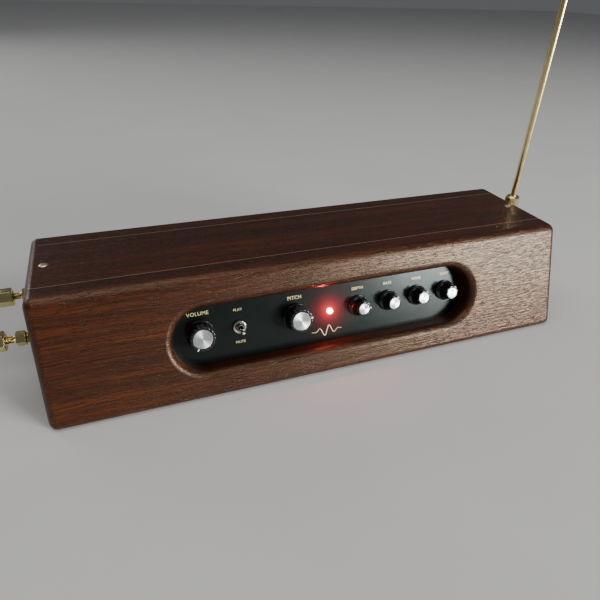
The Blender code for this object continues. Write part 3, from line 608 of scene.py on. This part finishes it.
def lettering(words, x, up, height, place):
    """Printed capitals, centred on a point of a panel."""
    bpy.ops.object.text_add()
    text = bpy.context.object
    text.name = "print_" + words.lower().replace(" ", "_")
    text.data.body = words
    text.data.align_x = "CENTER"
    text.data.align_y = "CENTER"
    text.data.size = height * 1.4
    text.data.space_character = 1.06
    text.data.extrude = INK_THICK
    text.data.resolution_u = 4
    bpy.ops.object.convert(target="MESH")
    put(text, place @ Matrix.Translation((x, up, INK_THICK)))
    fit(text, gold_ink, "cabinet", "gold_print")


labels = (
    ("volume", 16.3 * MM, 3.1 * MM),
    ("pitch", 16.3 * MM, 3.1 * MM),
    ("depth", 15.4 * MM, 2.4 * MM),
    ("rate", 15.4 * MM, 2.4 * MM),
    ("wave", 15.4 * MM, 2.4 * MM),
    ("tone", 15.4 * MM, 2.4 * MM),
)
control_x = {name: joints[name + "_turn"]["pos_m"][0] for name, up, height in labels}
toggle_x = joints["toggle_flip"]["pos_m"][0]
for name, up, height in labels:
    lettering(name.upper(), control_x[name], up, height, panel)
lettering("PLAY", toggle_x, 14.3 * MM, 2.2 * MM, panel)
lettering("MUTE", toggle_x, -13 * MM, 2.2 * MM, panel)

# The wave: swings that grow and fade, drawn as one ribbon of ink with thin ends.
WAVE_X = -3 * MM
WAVE_UP = -17.4 * MM
WAVE_HALF = 14 * MM
WAVE_HEIGHT = 4.6 * MM
WAVE_WIDE = 0.7 * MM
SWINGS = 3
wave_steps = 96
wave_mesh = bpy.data.meshes.new("print_wave")
edges_up, edges_down = [], []
for i in range(wave_steps + 1):
    share = i / wave_steps * 2 - 1
    fade = cos(share * pi / 2) ** 2
    height = WAVE_HEIGHT * fade * sin(share * SWINGS * pi)
    slope = WAVE_HEIGHT * fade * SWINGS * pi * cos(share * SWINGS * pi) / WAVE_HALF
    normal = Vector((-slope, 1, 0)).normalized() * WAVE_WIDE / 2 * (0.45 + 0.55 * fade)
    point = Vector((share * WAVE_HALF, height, 0))
    edges_up.append(point + normal)
    edges_down.append(point - normal)
faces = [(i, i + 1, wave_steps + 2 + i, wave_steps + 1 + i) for i in range(wave_steps)]
wave_mesh.from_pydata(edges_up + edges_down, [], faces)
wave_print = new_piece("print_wave", wave_mesh)
modify(wave_print, "SOLIDIFY", thickness=2 * INK_THICK, offset=0)
put(wave_print, panel @ Matrix.Translation((WAVE_X, WAVE_UP, INK_THICK)))
fit(wave_print, gold_ink, "cabinet", "gold_print")


# ---- Knobs
# Skirted knobs moulded in glossy black phenolic. The grip has rounded ridges, a spun aluminium disc is let
# into its top, and a white line over its shoulder is the pointer.

BIG_KNOB = dict(
    skirt_r=11.6 * MM, grip_r=10.7 * MM, cap_r=7.7 * MM, shoulder=0.95 * MM, flutes=16, flute_deep=0.7 * MM
)
SMALL_KNOB = dict(
    skirt_r=9.3 * MM, grip_r=6.9 * MM, cap_r=4.8 * MM, shoulder=0.5 * MM, flutes=8, flute_deep=1.1 * MM
)
FLUTE_START = 0.75 * MM  # outside the insert
SKIRT_CLEAR = 0.5 * MM
SKIRT_RISE = 3.4 * MM
INSERT_DEEP = 0.85 * MM
INSERT_THICK = 0.6 * MM
NUT_ROOM_R = 6.3 * MM
NUT_ROOM_HIGH = 3.2 * MM
BUSHING_ROOM_R = 4.1 * MM
BUSHING_ROOM_HIGH = 6 * MM
SHAFT_ROOM_R = 3.35 * MM
TOP_THICK = 2 * MM
TOOL_MARK = 0.3 * MM  # from one ring on the disc to the next
POINTER_WIDE = 1.0 * MM
POINTER_THICK = 0.35 * MM
STOP = 150  # degrees from twelve o'clock to either stop

black = (0.008, 0.008, 0.009)
wet_look = {"Coat Weight": 0.3, "Coat Roughness": 0.08}
phenolic = moulded("black_phenolic", black, 0.17, 0.5 * MM, 0.006 * MM, wet_look)
pointer_paint = moulded("white_pointer_paint", (0.85, 0.85, 0.82), 0.45, 0.2 * MM, 0.01 * MM)
spun = metal("spun_aluminium", (0.86, 0.88, 0.89), 0.2, 0.2 * MM, 0.06)
turned_face = metal("turned_aluminium_face", (0.88, 0.90, 0.91), 0.26, 0.2 * MM, 0.04)
nodes, links = turned_face.node_tree.nodes, turned_face.node_tree.links
shader = nodes["Principled BSDF"]
put_in(shader, {"Anisotropic": 0.85})
by_turn = dict(direction_type="UV_MAP", uv_map="polar")
tool_marks = labelled(nodes, "Tangent", "tool marks run round the disc", **by_turn)
lay_out(nodes, "turned face", -200, -500, (tool_marks,))
wire(links, (tool_marks, "Tangent", shader, "Tangent"))


def knob(name, skirt_r, grip_r, cap_r, shoulder, flutes, flute_deep):
    joint = joints[name + "_turn"]
    body = name + "_control"
    turn = -STOP - joint["range_deg"][0]
    place = panel @ Matrix.Translation((joint["pos_m"][0], 0, 0)) @ Matrix.Rotation(radians(-turn), 4, "Z")
    top = max((panel.inverted() @ v.co).z for v in frame["nodes"][name + "_knob_cap"].data.vertices)
    top_r = grip_r - 0.5 * MM
    outline = [
        (0, top - INSERT_DEEP),
        (cap_r + 0.1 * MM, top - INSERT_DEEP),
        (cap_r + 0.12 * MM, top - 0.2 * MM),
        *arc((cap_r + 0.42 * MM, top - 0.3 * MM), 0.3 * MM, 170, 80, 4),
        *arc((top_r - shoulder, top - shoulder), shoulder, 84, 6, 7),
        (top_r + 0.12 * MM, top - 3 * MM),
        (top_r + 0.28 * MM, top - 6 * MM),
        (grip_r, SKIRT_RISE + 1.2 * MM),
        *arc((grip_r + 1.1 * MM, SKIRT_RISE + 0.75 * MM), 1.1 * MM, 180, 245, 5),
        (skirt_r - 0.6 * MM, 1.98 * MM),
        *arc((skirt_r - 0.4 * MM, 1.55 * MM), 0.4 * MM, 80, 0, 4),
        *arc((skirt_r - 0.3 * MM, SKIRT_CLEAR + 0.3 * MM), 0.3 * MM, 0, -90, 3),
        (NUT_ROOM_R, SKIRT_CLEAR),
        (NUT_ROOM_R, NUT_ROOM_HIGH),
        (BUSHING_ROOM_R, NUT_ROOM_HIGH),
        (BUSHING_ROOM_R, BUSHING_ROOM_HIGH),
        (SHAFT_ROOM_R, BUSHING_ROOM_HIGH),
        (SHAFT_ROOM_R, top - TOP_THICK),
        (0, top - TOP_THICK),
    ]
    grip = turned(name + "_grip", outline, flutes * 12)
    for vertex in grip.data.vertices:
        reach = vertex.co.to_2d().length
        low_fade = min(1, max(0, (vertex.co.z - SKIRT_RISE - 0.2 * MM) / (1.2 * MM)))
        edge_fade = min(1, max(0, (reach - cap_r - FLUTE_START) / (0.6 * MM)))
        if edge_fade and low_fade:
            around = Vector((0, 1)).angle_signed(vertex.co.to_2d())
            ridge = abs(cos(flutes * around / 2)) ** 0.8
            vertex.co.xy *= 1 - flute_deep * (1 - ridge) * low_fade * edge_fade / reach
    put(grip, place)
    fit(grip, phenolic, body, "knob", name + "_knob", angle=50)

    rings = int((cap_r - 0.5 * MM) / TOOL_MARK)
    disc_outline = [(0, top - 0.02 * MM)]
    for i in range(1, 2 * rings):
        disc_outline.append((i * TOOL_MARK / 2, top - (0.03 * MM if i % 2 else 0)))
    disc_outline += [
        (cap_r - 0.35 * MM, top - 0.01 * MM),
        (cap_r - 0.05 * MM, top - 0.2 * MM),
        (cap_r - 0.05 * MM, top - INSERT_THICK),
        (0, top - INSERT_THICK),
    ]
    disc = turned(name + "_disc", disc_outline, 72)
    polar = disc.data.uv_layers.new(name="polar")
    for face in disc.data.polygons:
        middle_turn = face.center.xy.angle_signed(Vector((1, 0)))
        for corner in face.loop_indices:
            point = disc.data.vertices[disc.data.loops[corner].vertex_index].co.xy
            turn_here = point.angle_signed(face.center.xy) if point.length > 0.01 * MM else 0
            polar.data[corner].uv = ((middle_turn - turn_here) / (2 * pi), point.length / cap_r)
    put(disc, place)
    fit(disc, turned_face, body, "aluminium", name + "_knob_cap", angle=35)

    ride_over = [
        (cap_r + 0.35 * MM, top + 0.05 * MM),
        (top_r - shoulder, top + 0.06 * MM),
        (top_r - 0.2 * shoulder, top - 0.3 * shoulder),
        (top_r + 0.08 * MM, top - shoulder),
        (top_r + 0.2 * MM, top - 4 * MM),
        (grip_r + 0.05 * MM, SKIRT_RISE + 2.5 * MM),
    ]
    half = POINTER_WIDE / 2
    shape = bpy.data.meshes.new(name + "_pointer")
    points = [(side * half, reach, height) for side in (-1, 1) for reach, height in ride_over]
    count = len(ride_over)
    shape.from_pydata(points, [], [(i, i + 1, count + i + 1, count + i) for i in range(count - 1)])
    pointer = new_piece(name + "_pointer", shape)
    modify(pointer, "SOLIDIFY", thickness=POINTER_THICK, offset=0)
    bpy.ops.object.mode_set(mode="EDIT")
    bpy.ops.mesh.select_all(action="SELECT")
    bpy.ops.mesh.normals_make_consistent(inside=False)
    bpy.ops.object.mode_set(mode="OBJECT")
    put(pointer, place)
    fit(pointer, pointer_paint, body, "gold_print")


for name in control_x:
    knob(name, **(BIG_KNOB if name in ("volume", "pitch") else SMALL_KNOB))


# ---- Play and mute switch
# A miniature toggle switch: a nickel bushing and dress nut, a bat lever that leans to mute, and a black case
# behind.

nickel = metal("bright_nickel", (0.70, 0.69, 0.66), 0.16, 0.3 * MM, 0.12)
switch_black = moulded("switch_case_black", (0.02, 0.02, 0.021), 0.5, 0.3 * MM, 0.02 * MM)
toggle_place = panel @ Matrix.Translation((toggle_x, 0, 0))
NUT_GROOVES = 28
nut_outline = [
    (3.15 * MM, 0.3 * MM),
    (5.45 * MM, 0.3 * MM),
    (5.6 * MM, 0.45 * MM),
    (5.6 * MM, 1.35 * MM),
    *arc((4.9 * MM, 1.5 * MM), 0.6 * MM, 10, 90, 5),
    (4.1 * MM, 2.2 * MM),
    (3.5 * MM, 1.95 * MM),
    (3.15 * MM, 1.9 * MM),
]
dress_nut = turned("toggle_dress_nut", nut_outline, NUT_GROOVES * 4, closed=True)
for vertex in dress_nut.data.vertices:
    if vertex.co.to_2d().length > 5.3 * MM:
        around = Vector((0, 1)).angle_signed(vertex.co.to_2d())
        vertex.co.xy *= 1 - 0.025 * (1 - abs(cos(NUT_GROOVES * around / 2)))
put(dress_nut, toggle_place)
fit(dress_nut, nickel, "cabinet", "nickel", "toggle_nut")


def threaded(radius, low, high, pitch):
    """An outline with a thread's crests and roots, from high down to low."""
    turns = int((high - low) / pitch)
    points = []
    for i in range(turns):
        z = high - i * pitch
        points += [(radius, z - pitch * 0.25), (radius - pitch * 0.4, z - pitch * 0.75)]
    return points


bushing_outline = [
    (2.3 * MM, -2.3 * MM),
    (2.3 * MM, 5.45 * MM),
    (2.45 * MM, 5.6 * MM),
    (2.75 * MM, 5.6 * MM),
    *threaded(2.98 * MM, 0.2 * MM, 5.4 * MM, 0.6 * MM),
    (2.9 * MM, 0),
    (2.9 * MM, -2.3 * MM),
]
toggle_bushing = turned("toggle_bushing", bushing_outline, 48, closed=True)
put(toggle_bushing, toggle_place)
fit(toggle_bushing, nickel, "cabinet", "nickel", "toggle_body", angle=20)
case = block("toggle_case", Vector((-4, -6.5, -11.3)) * MM, Vector((4, 6.5, -2.35)) * MM)
bpy.ops.object.mode_set(mode="EDIT")
bpy.ops.mesh.select_all(action="SELECT")
bpy.ops.mesh.bevel(offset=0.4 * MM, segments=2, affect="EDGES")
bpy.ops.object.mode_set(mode="OBJECT")
put(case, toggle_place)
fit(case, switch_black, "cabinet", "black_plastic")

LEVER_REACH = 10.5 * MM
lever_outline = [
    *arc((0, LEVER_REACH - 1.75 * MM), 1.75 * MM, 90, 20, 7),
    (1.7 * MM, LEVER_REACH - 2.2 * MM),
    (1.45 * MM, LEVER_REACH - 4 * MM),
    (1.15 * MM, 3.2 * MM),
    (1.05 * MM, 1.4 * MM),
    (1.15 * MM, 0.2 * MM),
    (1.15 * MM, -1 * MM),
    (0, -1.5 * MM),
]
lever_outline[0] = (0, LEVER_REACH)
lever = turned("toggle_bat", lever_outline, 40)
lever_tilt = radians(joints["toggle_flip"]["range_deg"][1] / 2)
pivot = Matrix.Translation(Vector(joints["toggle_flip"]["pos_m"]))
put(lever, pivot @ panel.to_3x3().to_4x4() @ Matrix.Rotation(lever_tilt, 4, "X"))
fit(lever, nickel, "toggle", "nickel", "toggle_lever")


# ---- Indicator lamp
# A 5 mm lamp in clear red epoxy, lit, in a black clip ring. A weak red light ahead of it, a red glow painted
# into the paint around it and a red glow painted into the clip ring stand for its light.

LAMP_R = 2.45 * MM
LAMP_SHOULDER = 2.4 * MM
LAMP_DEEP = 6.1 * MM
lamp_place = panel @ Matrix.Translation((middle_of("indicator_lamp").x, 0, 0))

lamp_glow, nodes, links, shader = new_material("lit_red_epoxy")
put_in(shader, {"Base Color": (0.9, 0.05, 0.05, 1), "Roughness": 0.12, "Emission Strength": 34})
facing = labelled(nodes, "LayerWeight", "face on or edge on", {"Blend": 0.35})
heat = labelled(nodes, "ValToRGB", "white-hot middle to deep red rim")
colour_stops(heat, (0.1, (1, 0.42, 0.36)), (0.75, (1, 0.02, 0.02)))
lay_out(nodes, "hottest at the die, seen face on", -600, -200, (facing, heat))
wire(links, (facing, "Facing", heat, "Fac"), (heat, "Color", shader, "Emission Color"))

dome_outline = [
    (0, LAMP_SHOULDER + LAMP_R),
    *arc((0, LAMP_SHOULDER), LAMP_R, 84, 0, 12),
    (LAMP_R, -LAMP_DEEP),
    (0, -LAMP_DEEP),
]
dome = turned("lamp_dome", dome_outline, 48)
put(dome, lamp_place)
fit(dome, lamp_glow, "cabinet", "lamp", "indicator_lamp", angle=60)
clip_outline = [
    (2.75 * MM, -5.2 * MM),
    (2.75 * MM, 1.3 * MM),
    *arc((3.15 * MM, 1.05 * MM), 0.4 * MM, 150, 20, 5),
    (3.75 * MM, 0.5 * MM),
    (3.9 * MM, 0.3 * MM),
    (3 * MM, 0.3 * MM),
    (3 * MM, -5.2 * MM),
]
clip_ring = turned("lamp_clip_ring", clip_outline, 48, closed=True)
put(clip_ring, lamp_place)
# The clip ring's black paint gets a faint red glow: painted light from the lamp, not a lamp of its own.
clip_paint_with_painted_glow = switch_black.copy()
clip_paint_with_painted_glow.name = "clip_ring_with_painted_red_glow"
lit = {"Emission Color": (1, 0.03, 0.04, 1), "Emission Strength": 1.4}
put_in(clip_paint_with_painted_glow.node_tree.nodes["Principled BSDF"], lit)
fit(clip_ring, clip_paint_with_painted_glow, "cabinet", "black_plastic", "lamp_holder")

# A red glow painted into the paint around it stands for its light there, and fades within a few centimetres.
PAINTED_GLOW_START = 3.6 * MM
PAINTED_GLOW_END = 36 * MM
PAINTED_GLOW_FADE = 7.3  # natural logarithm of the fall between the two
paint_with_painted_glow = panel_paint.copy()
paint_with_painted_glow.name = "satin_black_paint_with_painted_lamp_glow"
nodes, links = paint_with_painted_glow.node_tree.nodes, paint_with_painted_glow.node_tree.links
shader = nodes["Principled BSDF"]
put_in(shader, {"Emission Color": (1, 0.035, 0.05, 1)})
on_panel = labelled(nodes, "TexCoord", "where on the panel")
lamp_point = {1: lamp_place @ Vector((0, 0, 0))}
from_lamp = labelled(nodes, "VectorMath", "distance from the lamp", lamp_point, operation="DISTANCE")
fall = {"From Min": PAINTED_GLOW_START, "From Max": PAINTED_GLOW_END, "To Min": 0, "To Max": -PAINTED_GLOW_FADE}
falling = labelled(nodes, "MapRange", "how far it has faded", fall)
painted_glow_strength = labelled(nodes, "Math", "brightness of the painted glow", operation="EXPONENT")
lay_out(nodes, "red glow painted around the lamp", -1000, -700, (on_panel, from_lamp, falling, painted_glow_strength))
wire(
    links,
    (on_panel, "Object", from_lamp, 0),
    (from_lamp, "Value", falling, "Value"),
    (falling, "Result", painted_glow_strength, 0),
    (painted_glow_strength, "Value", shader, "Emission Strength"),
)
paint(paint_with_painted_glow, "control_panel")

LAMP_LIGHT_OUT = 5.6 * MM
LAMP_POWER = 0.03
bpy.ops.object.light_add(type="POINT", location=lamp_place @ Vector((0, 0, LAMP_LIGHT_OUT)))
lamp_light = bpy.context.object
lamp_light.name = "lamp_light"
lamp_light.data.energy = LAMP_POWER
lamp_light.data.color = (1, 0.03, 0.03)
lamp_light.data.shadow_soft_size = 0.5 * MM


# ---- Pitch rod
# A quarter-inch brass tube with a rounded plug in its top. A compression nut holds it upright in a brass
# elbow.

TUBE_R = 3.175 * MM
TUBE_INSIDE_R = 2.4 * MM
ROD_TOP_ROUND = 1.6 * MM
ROD_PLUG = 4 * MM
NUT_BORE_R = 3.3 * MM
NUT_MOUTH_R = 5.2 * MM
HEX_ACROSS = 13 * MM
brass = metal("dulled_brass", (0.86, 0.72, 0.36), 0.22, 0.5 * MM, 0.16)

rod_low, rod_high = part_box("pitch_rod")
rod_x, rod_y, _ = middle_of("pitch_rod")
straight = rod_high.z - rod_low.z - 2 * MM
rod_outline = [
    (0, rod_high.z),
    *arc((TUBE_R - ROD_TOP_ROUND, rod_high.z - ROD_TOP_ROUND), ROD_TOP_ROUND, 84, 0, 8),
    *((TUBE_R, rod_high.z - ROD_TOP_ROUND - straight * i / 12) for i in range(1, 12)),
    (TUBE_R, rod_low.z + 0.3 * MM),
    (TUBE_R - 0.2 * MM, rod_low.z),
    (TUBE_INSIDE_R, rod_low.z),
    (TUBE_INSIDE_R, rod_high.z - ROD_PLUG),
    (0, rod_high.z - ROD_PLUG),
]
rod = turned("pitch_rod_tube", rod_outline, 48)
put(rod, Matrix.Translation((rod_x, rod_y, 0)))
fit(rod, brass, "rod", "brass", "pitch_rod")


def hex_nut(name, length, bore, mouth_r, step_z=0, step_bore=0):
    """A hexagonal nut about Z, from 0 up, its corners turned off. mouth_r is the radius of its nose."""
    corner = HEX_ACROSS / 2 / cos(pi / 6)
    nut = cylinder(corner, length, (0, 0, length / 2), 6)
    nut.name = name
    nose = min(1.2 * MM, length / 4)
    barrel_outline = [
        (0, length + 0.01 * MM),
        (mouth_r, length + 0.01 * MM),
        (HEX_ACROSS / 2 - 0.1 * MM, length - nose),
        (corner + 0.2 * MM, length - nose * 5 / 3),
        (corner + 0.2 * MM, nose / 2),
        (HEX_ACROSS / 2 - 0.1 * MM, -0.01 * MM),
        (0, -0.01 * MM),
    ]
    cut(nut, turned("barrel", barrel_outline, 72), "INTERSECT")
    cut(nut, cylinder(bore, 4 * length))
    if step_z:
        cut(nut, cylinder(step_bore, 2 * step_z))
    modify(nut, "BEVEL", width=0.12 * MM, segments=2, limit_method="ANGLE", angle_limit=radians(35))
    return nut


nut_low, nut_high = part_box("rod_nut")
rod_nut = hex_nut(
    "rod_compression_nut", nut_high.z - nut_low.z, NUT_BORE_R, NUT_MOUTH_R, 7.6 * MM, NUT_MOUTH_R
)
put(rod_nut, Matrix.Translation((rod_x, rod_y, nut_low.z)))
fit(rod_nut, brass, "cabinet", "brass", "rod_nut")

# The elbow: an upright body and a level arm with a hexagon by the wall, cast and turned as one.
THREAD_R = 4.8 * MM
HEX_LONG = 6 * MM
ELBOW_BORE_R = 3.5 * MM
elbow_z = middle_of("elbow_locknut").z
wall_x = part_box("right_end_board")[1].x
elbow_reach = rod_x - wall_x
upright_outline = [
    (0, -6.3 * MM),
    *arc((0, -0.6 * MM), 5.8 * MM, -80, 0, 9),
    (5.8 * MM, 9 * MM),
    (5.2 * MM, 9.7 * MM),
    (4.5 * MM, 10.1 * MM),
    *reversed(threaded(THREAD_R, 10.4 * MM, 19.6 * MM, 1 * MM)),
    (4.4 * MM, 20 * MM),
    (0, 20 * MM),
]
elbow = turned("pitch_elbow_body", upright_outline, 56)
put(elbow, Matrix.Translation((rod_x, rod_y, elbow_z)))
select(elbow)
bpy.ops.object.transform_apply(location=True, rotation=True, scale=True)
along_x = Matrix.Translation((wall_x, rod_y, elbow_z)) @ Matrix.Rotation(pi / 2, 4, "Y")
arm_outline = [
    (0, -26 * MM),
    (4.4 * MM, -26 * MM),
    *reversed(threaded(THREAD_R, -25.6 * MM, -1 * MM, 1 * MM)),
    (THREAD_R, 0),
    (THREAD_R, 6.3 * MM),
    (5.2 * MM, 7 * MM),
    (5.2 * MM, elbow_reach - 1 * MM),
    (0, elbow_reach),
]
arm = turned("arm", arm_outline, 56)
put(arm, along_x)
cut(elbow, arm, "UNION")
collar = hex_nut("collar", HEX_LONG, 1 * MM, 5.9 * MM)
put(collar, along_x @ Matrix.Translation((0, 0, 0.5 * MM)))
cut(elbow, collar, "UNION")
cut(elbow, cylinder(ELBOW_BORE_R, 30 * MM, (rod_x, rod_y, elbow_z + 16 * MM)))
fit(elbow, brass, "cabinet", "brass", "pitch_elbow")


# ---- Volume loop and its fittings
# Two brass studs leave the left end level. Their hexagons seat on the wood, and compression nuts on their
# outer ends hold the legs of a loop of the same tube.

LEG_STRAIGHT = 62 * MM
SPREAD_LENGTH = 62 * MM
SMALL_HEX = 9.6 * MM
SMALL_HEX_LOW = 5.5 * MM
SMALL_HEX_LONG = 6.5 * MM
wall_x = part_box("left_end_board")[0].x
loop_low, loop_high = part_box("volume_loop")
collar_outline = [
    (0, 12.01 * MM),
    (SMALL_HEX / 2 - 0.3 * MM, 12.01 * MM),
    (SMALL_HEX / 2 + 0.9 * MM, 11.2 * MM),
    (SMALL_HEX / 2 + 0.9 * MM, 6.1 * MM),
    (SMALL_HEX / 2 - 0.1 * MM, 5.49 * MM),
    (0, 5.49 * MM),
]
core_outline = [
    (0, 26 * MM),
    (2.7 * MM, 26 * MM),
    *threaded(2.7 * MM, 13.5 * MM, 25.6 * MM, 0.8 * MM),
    (2.9 * MM, 13 * MM),
    (3.4 * MM, 11.5 * MM),
    (3.4 * MM, 6 * MM),
    *threaded(4 * MM, 0.9 * MM, 5 * MM, 0.9 * MM),
    (4 * MM, 0.5 * MM),
    (THREAD_R, 0.3 * MM),
    (THREAD_R, 0),
    *threaded(THREAD_R, -25.6 * MM, -1 * MM, 1 * MM),
    (4.4 * MM, -26 * MM),
    (0, -26 * MM),
]
fitting_y = {}
for side in ("front", "back"):
    low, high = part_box("loop_nut_" + side)
    fitting_y[side] = (low.y + high.y) / 2
    fitting_z = (low.z + high.z) / 2
    out_of_wall = Matrix.Rotation(-pi / 2, 4, "Y")
    long = high.x - low.x
    nut = hex_nut("loop_compression_nut_" + side, long, NUT_BORE_R, NUT_MOUTH_R, long / 2, 4.6 * MM)
    put(nut, Matrix.Translation((high.x, fitting_y[side], fitting_z)) @ out_of_wall)
    fit(nut, brass, "cabinet", "brass", "loop_nut_" + side)

    hex_middle = (0, 0, SMALL_HEX_LOW + SMALL_HEX_LONG / 2)
    stud = cylinder(SMALL_HEX / 2 / cos(pi / 6), SMALL_HEX_LONG, hex_middle, 6)
    stud.name = "loop_stud_" + side
    cut(stud, turned("collar", collar_outline, 72), "INTERSECT")
    cut(stud, turned("core", core_outline, 48), "UNION")
    put(stud, Matrix.Translation((wall_x, fitting_y[side], fitting_z)) @ out_of_wall)
    fit(stud, brass, "cabinet", "brass", "loop_fitting_" + side)

leg_half = (fitting_y["back"] - fitting_y["front"]) / 2
loop_middle = (fitting_y["back"] + fitting_y["front"]) / 2
loop_wide = (loop_high.y - loop_low.y) / 2 - TUBE_R
loop_reach = wall_x - loop_low.x - TUBE_R
leg_start = wall_x - loop_high.x
side_points = [(leg_start + (LEG_STRAIGHT - leg_start) * i / 6, leg_half) for i in range(7)]
for i in range(1, 17):
    share = i / 16
    eased = share * share * (3 - 2 * share)
    side_points.append((LEG_STRAIGHT + SPREAD_LENGTH * share, leg_half + (loop_wide - leg_half) * eased))
for i in range(33):
    turn = radians(90) * i / 32
    side_points.append((loop_reach - loop_wide + loop_wide * sin(turn), loop_wide * cos(turn)))
route = [Vector((wall_x - out, loop_middle - wide, fitting_z)) for out, wide in side_points]
route += [Vector((wall_x - out, loop_middle + wide, fitting_z)) for out, wide in reversed(side_points[:-1])]
bend = bpy.data.curves.new("volume_loop_tube", "CURVE")
bend.dimensions = "3D"
bend.bevel_depth = TUBE_R
bend.bevel_resolution = 8
bend.use_fill_caps = True
run = bend.splines.new("POLY")
run.points.add(len(route) - 1)
for point, place in zip(run.points, route):
    point.co = (*place, 1)
new_piece("volume_loop_tube", bend)
bpy.ops.object.convert(target="MESH")
loop = bpy.context.object
fit(loop, brass, "loop", "brass", "volume_loop", angle=40)


# ---- Rear sockets
# A quarter-inch output jack with its hexagon nut, and a round power inlet, on the black plate behind the back
# board.

rear_plate_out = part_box("rear_plate")[1].y - rear_middle.y
rear_face = rear @ Matrix.Translation((0, 0, rear_plate_out))
jack_x, inlet_x = -middle_of("output_jack").x, -middle_of("power_inlet").x
jack_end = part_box("output_jack")[1].y - rear_middle.y - rear_plate_out
sleeve_outline = [
    (3.3 * MM, -20 * MM),
    (3.3 * MM, jack_end - 0.5 * MM),
    (3.7 * MM, jack_end),
    (4.2 * MM, jack_end),
    *threaded(4.58 * MM, 0.2 * MM, jack_end - 0.3 * MM, 0.7 * MM),
    (4.5 * MM, -1.9 * MM),
    (7 * MM, -1.9 * MM),
    (7 * MM, -23.8 * MM),
    (0, -23.8 * MM),
    (0, -20 * MM),
]
sleeve = turned("output_jack_sleeve", sleeve_outline, 56)
put(sleeve, rear_face @ Matrix.Translation((jack_x, 0, 0)))
fit(sleeve, nickel, "cabinet", "nickel", "output_jack")
jack_nut = hex_nut("output_jack_hexagon", 2.2 * MM, 4.75 * MM, 5.9 * MM)
put(jack_nut, rear_face @ Matrix.Translation((jack_x, 0, 0.35 * MM)))
fit(jack_nut, nickel, "cabinet", "nickel", "output_jack_nut")

inlet_outline = [
    (0, 0.2 * MM),
    (0.7 * MM, 0.1 * MM),
    (1.05 * MM, -0.4 * MM),
    (1.05 * MM, -9.9 * MM),
    (2.9 * MM, -9.9 * MM),
    (2.9 * MM, 1.3 * MM),
    (3.1 * MM, 1.6 * MM),
    *arc((4.7 * MM, 1.1 * MM), 0.5 * MM, 90, 0, 4),
    (5.2 * MM, 0.3 * MM),
    (4.1 * MM, 0.3 * MM),
    (4.1 * MM, -1.9 * MM),
    (6 * MM, -1.9 * MM),
    (6 * MM, -13.9 * MM),
    (0, -13.9 * MM),
]
inlet = turned("power_inlet_barrel", inlet_outline, 56)
put(inlet, rear_face @ Matrix.Translation((inlet_x, 0, 0)))
fit(inlet, switch_black, "cabinet", "black_plastic", "power_inlet")
lettering("OUT", jack_x, 10.5 * MM, 2.4 * MM, rear_face)
lettering("DC IN", inlet_x, 10.5 * MM, 2.4 * MM, rear_face)


# ---- Underside
# A zinc-plated flange for a microphone stand, let in flush. Countersunk cross-head screws hold it and the
# floor.

SCREW_CIRCLE = 16.2 * MM
FLANGE_SCREW_R = 2.1 * MM
FLOOR_SCREW_R = 2.8 * MM
FLOOR_SCREW_IN = 12 * MM
zinc = metal("zinc_plate", (0.56, 0.57, 0.57), 0.34, 0.8 * MM, 0.25)
paint(zinc, "stand_flange")
flange_x, flange_y, _ = middle_of("stand_flange")
flange_screw_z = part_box("stand_flange")[0].z - 0.1 * MM
floor_low, floor_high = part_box("bottom_board")
screw_places = []
for i in range(3):
    turn = radians(30 + 120 * i)
    x, y = flange_x + SCREW_CIRCLE * cos(turn), flange_y + SCREW_CIRCLE * sin(turn)
    screw_places.append((x, y, FLANGE_SCREW_R, flange_screw_z))
for x in (floor_low.x + FLOOR_SCREW_IN, floor_high.x - FLOOR_SCREW_IN):
    for y in (floor_low.y + FLOOR_SCREW_IN, floor_high.y - FLOOR_SCREW_IN):
        screw_places.append((x, y, FLOOR_SCREW_R, 0.05 * MM))
for i, (x, y, head_r, z) in enumerate(screw_places):
    outline = [
        (0, 0.1 * MM),
        (head_r * 0.8, 0.1 * MM),
        (head_r, -0.1 * MM),
        (head_r * 0.45, -1.6 * MM),
        (head_r * 0.4, -6 * MM),
        (0, -7 * MM),
    ]
    head = turned(f"underside_screw_{i + 1}", outline, 32)
    groove_low = Vector((-head_r * 0.6, -0.3 * MM, -0.7 * MM))
    groove_high = Vector((head_r * 0.6, 0.3 * MM, 1 * MM))
    for turn in (0, pi / 2):
        groove = block("groove", groove_low, groove_high)
        put(groove, Matrix.Rotation(turn + radians(17 * i), 4, "Z"))
        cut(head, groove)
    put(head, Matrix.Translation((x, y, z)) @ Matrix.Rotation(pi, 4, "X"))
    fit(head, zinc, "cabinet", "steel")


# ---- Works inside the cabinet
# Potentiometers and shafts, the circuit board with its screened coils, the antenna coils and their leads.
# Their solids are right as they are and only need their materials.

laminate = moulded("green_laminate", (0.025, 0.13, 0.055), 0.4, 0.6 * MM, 0.02 * MM)
sleeving = moulded("red_sleeving", (0.42, 0.035, 0.03), 0.5, 0.3 * MM, 0.01 * MM)
copper = metal("enamelled_copper", (0.72, 0.33, 0.17), 0.3, 0.4 * MM, 0.2)
paint(laminate, "circuit_board")
paint(copper, "pitch_coil", "volume_coil")
paint(sleeving, "pitch_lead", "volume_lead")
paint(brass, "elbow_locknut", "loop_locknut_front", "loop_locknut_back")
paint(zinc, *(name + "_potentiometer" for name in control_x))
paint(spun, "oscillator_can", *(name + "_shaft" for name in control_x))


bpy.context.view_layer.update()
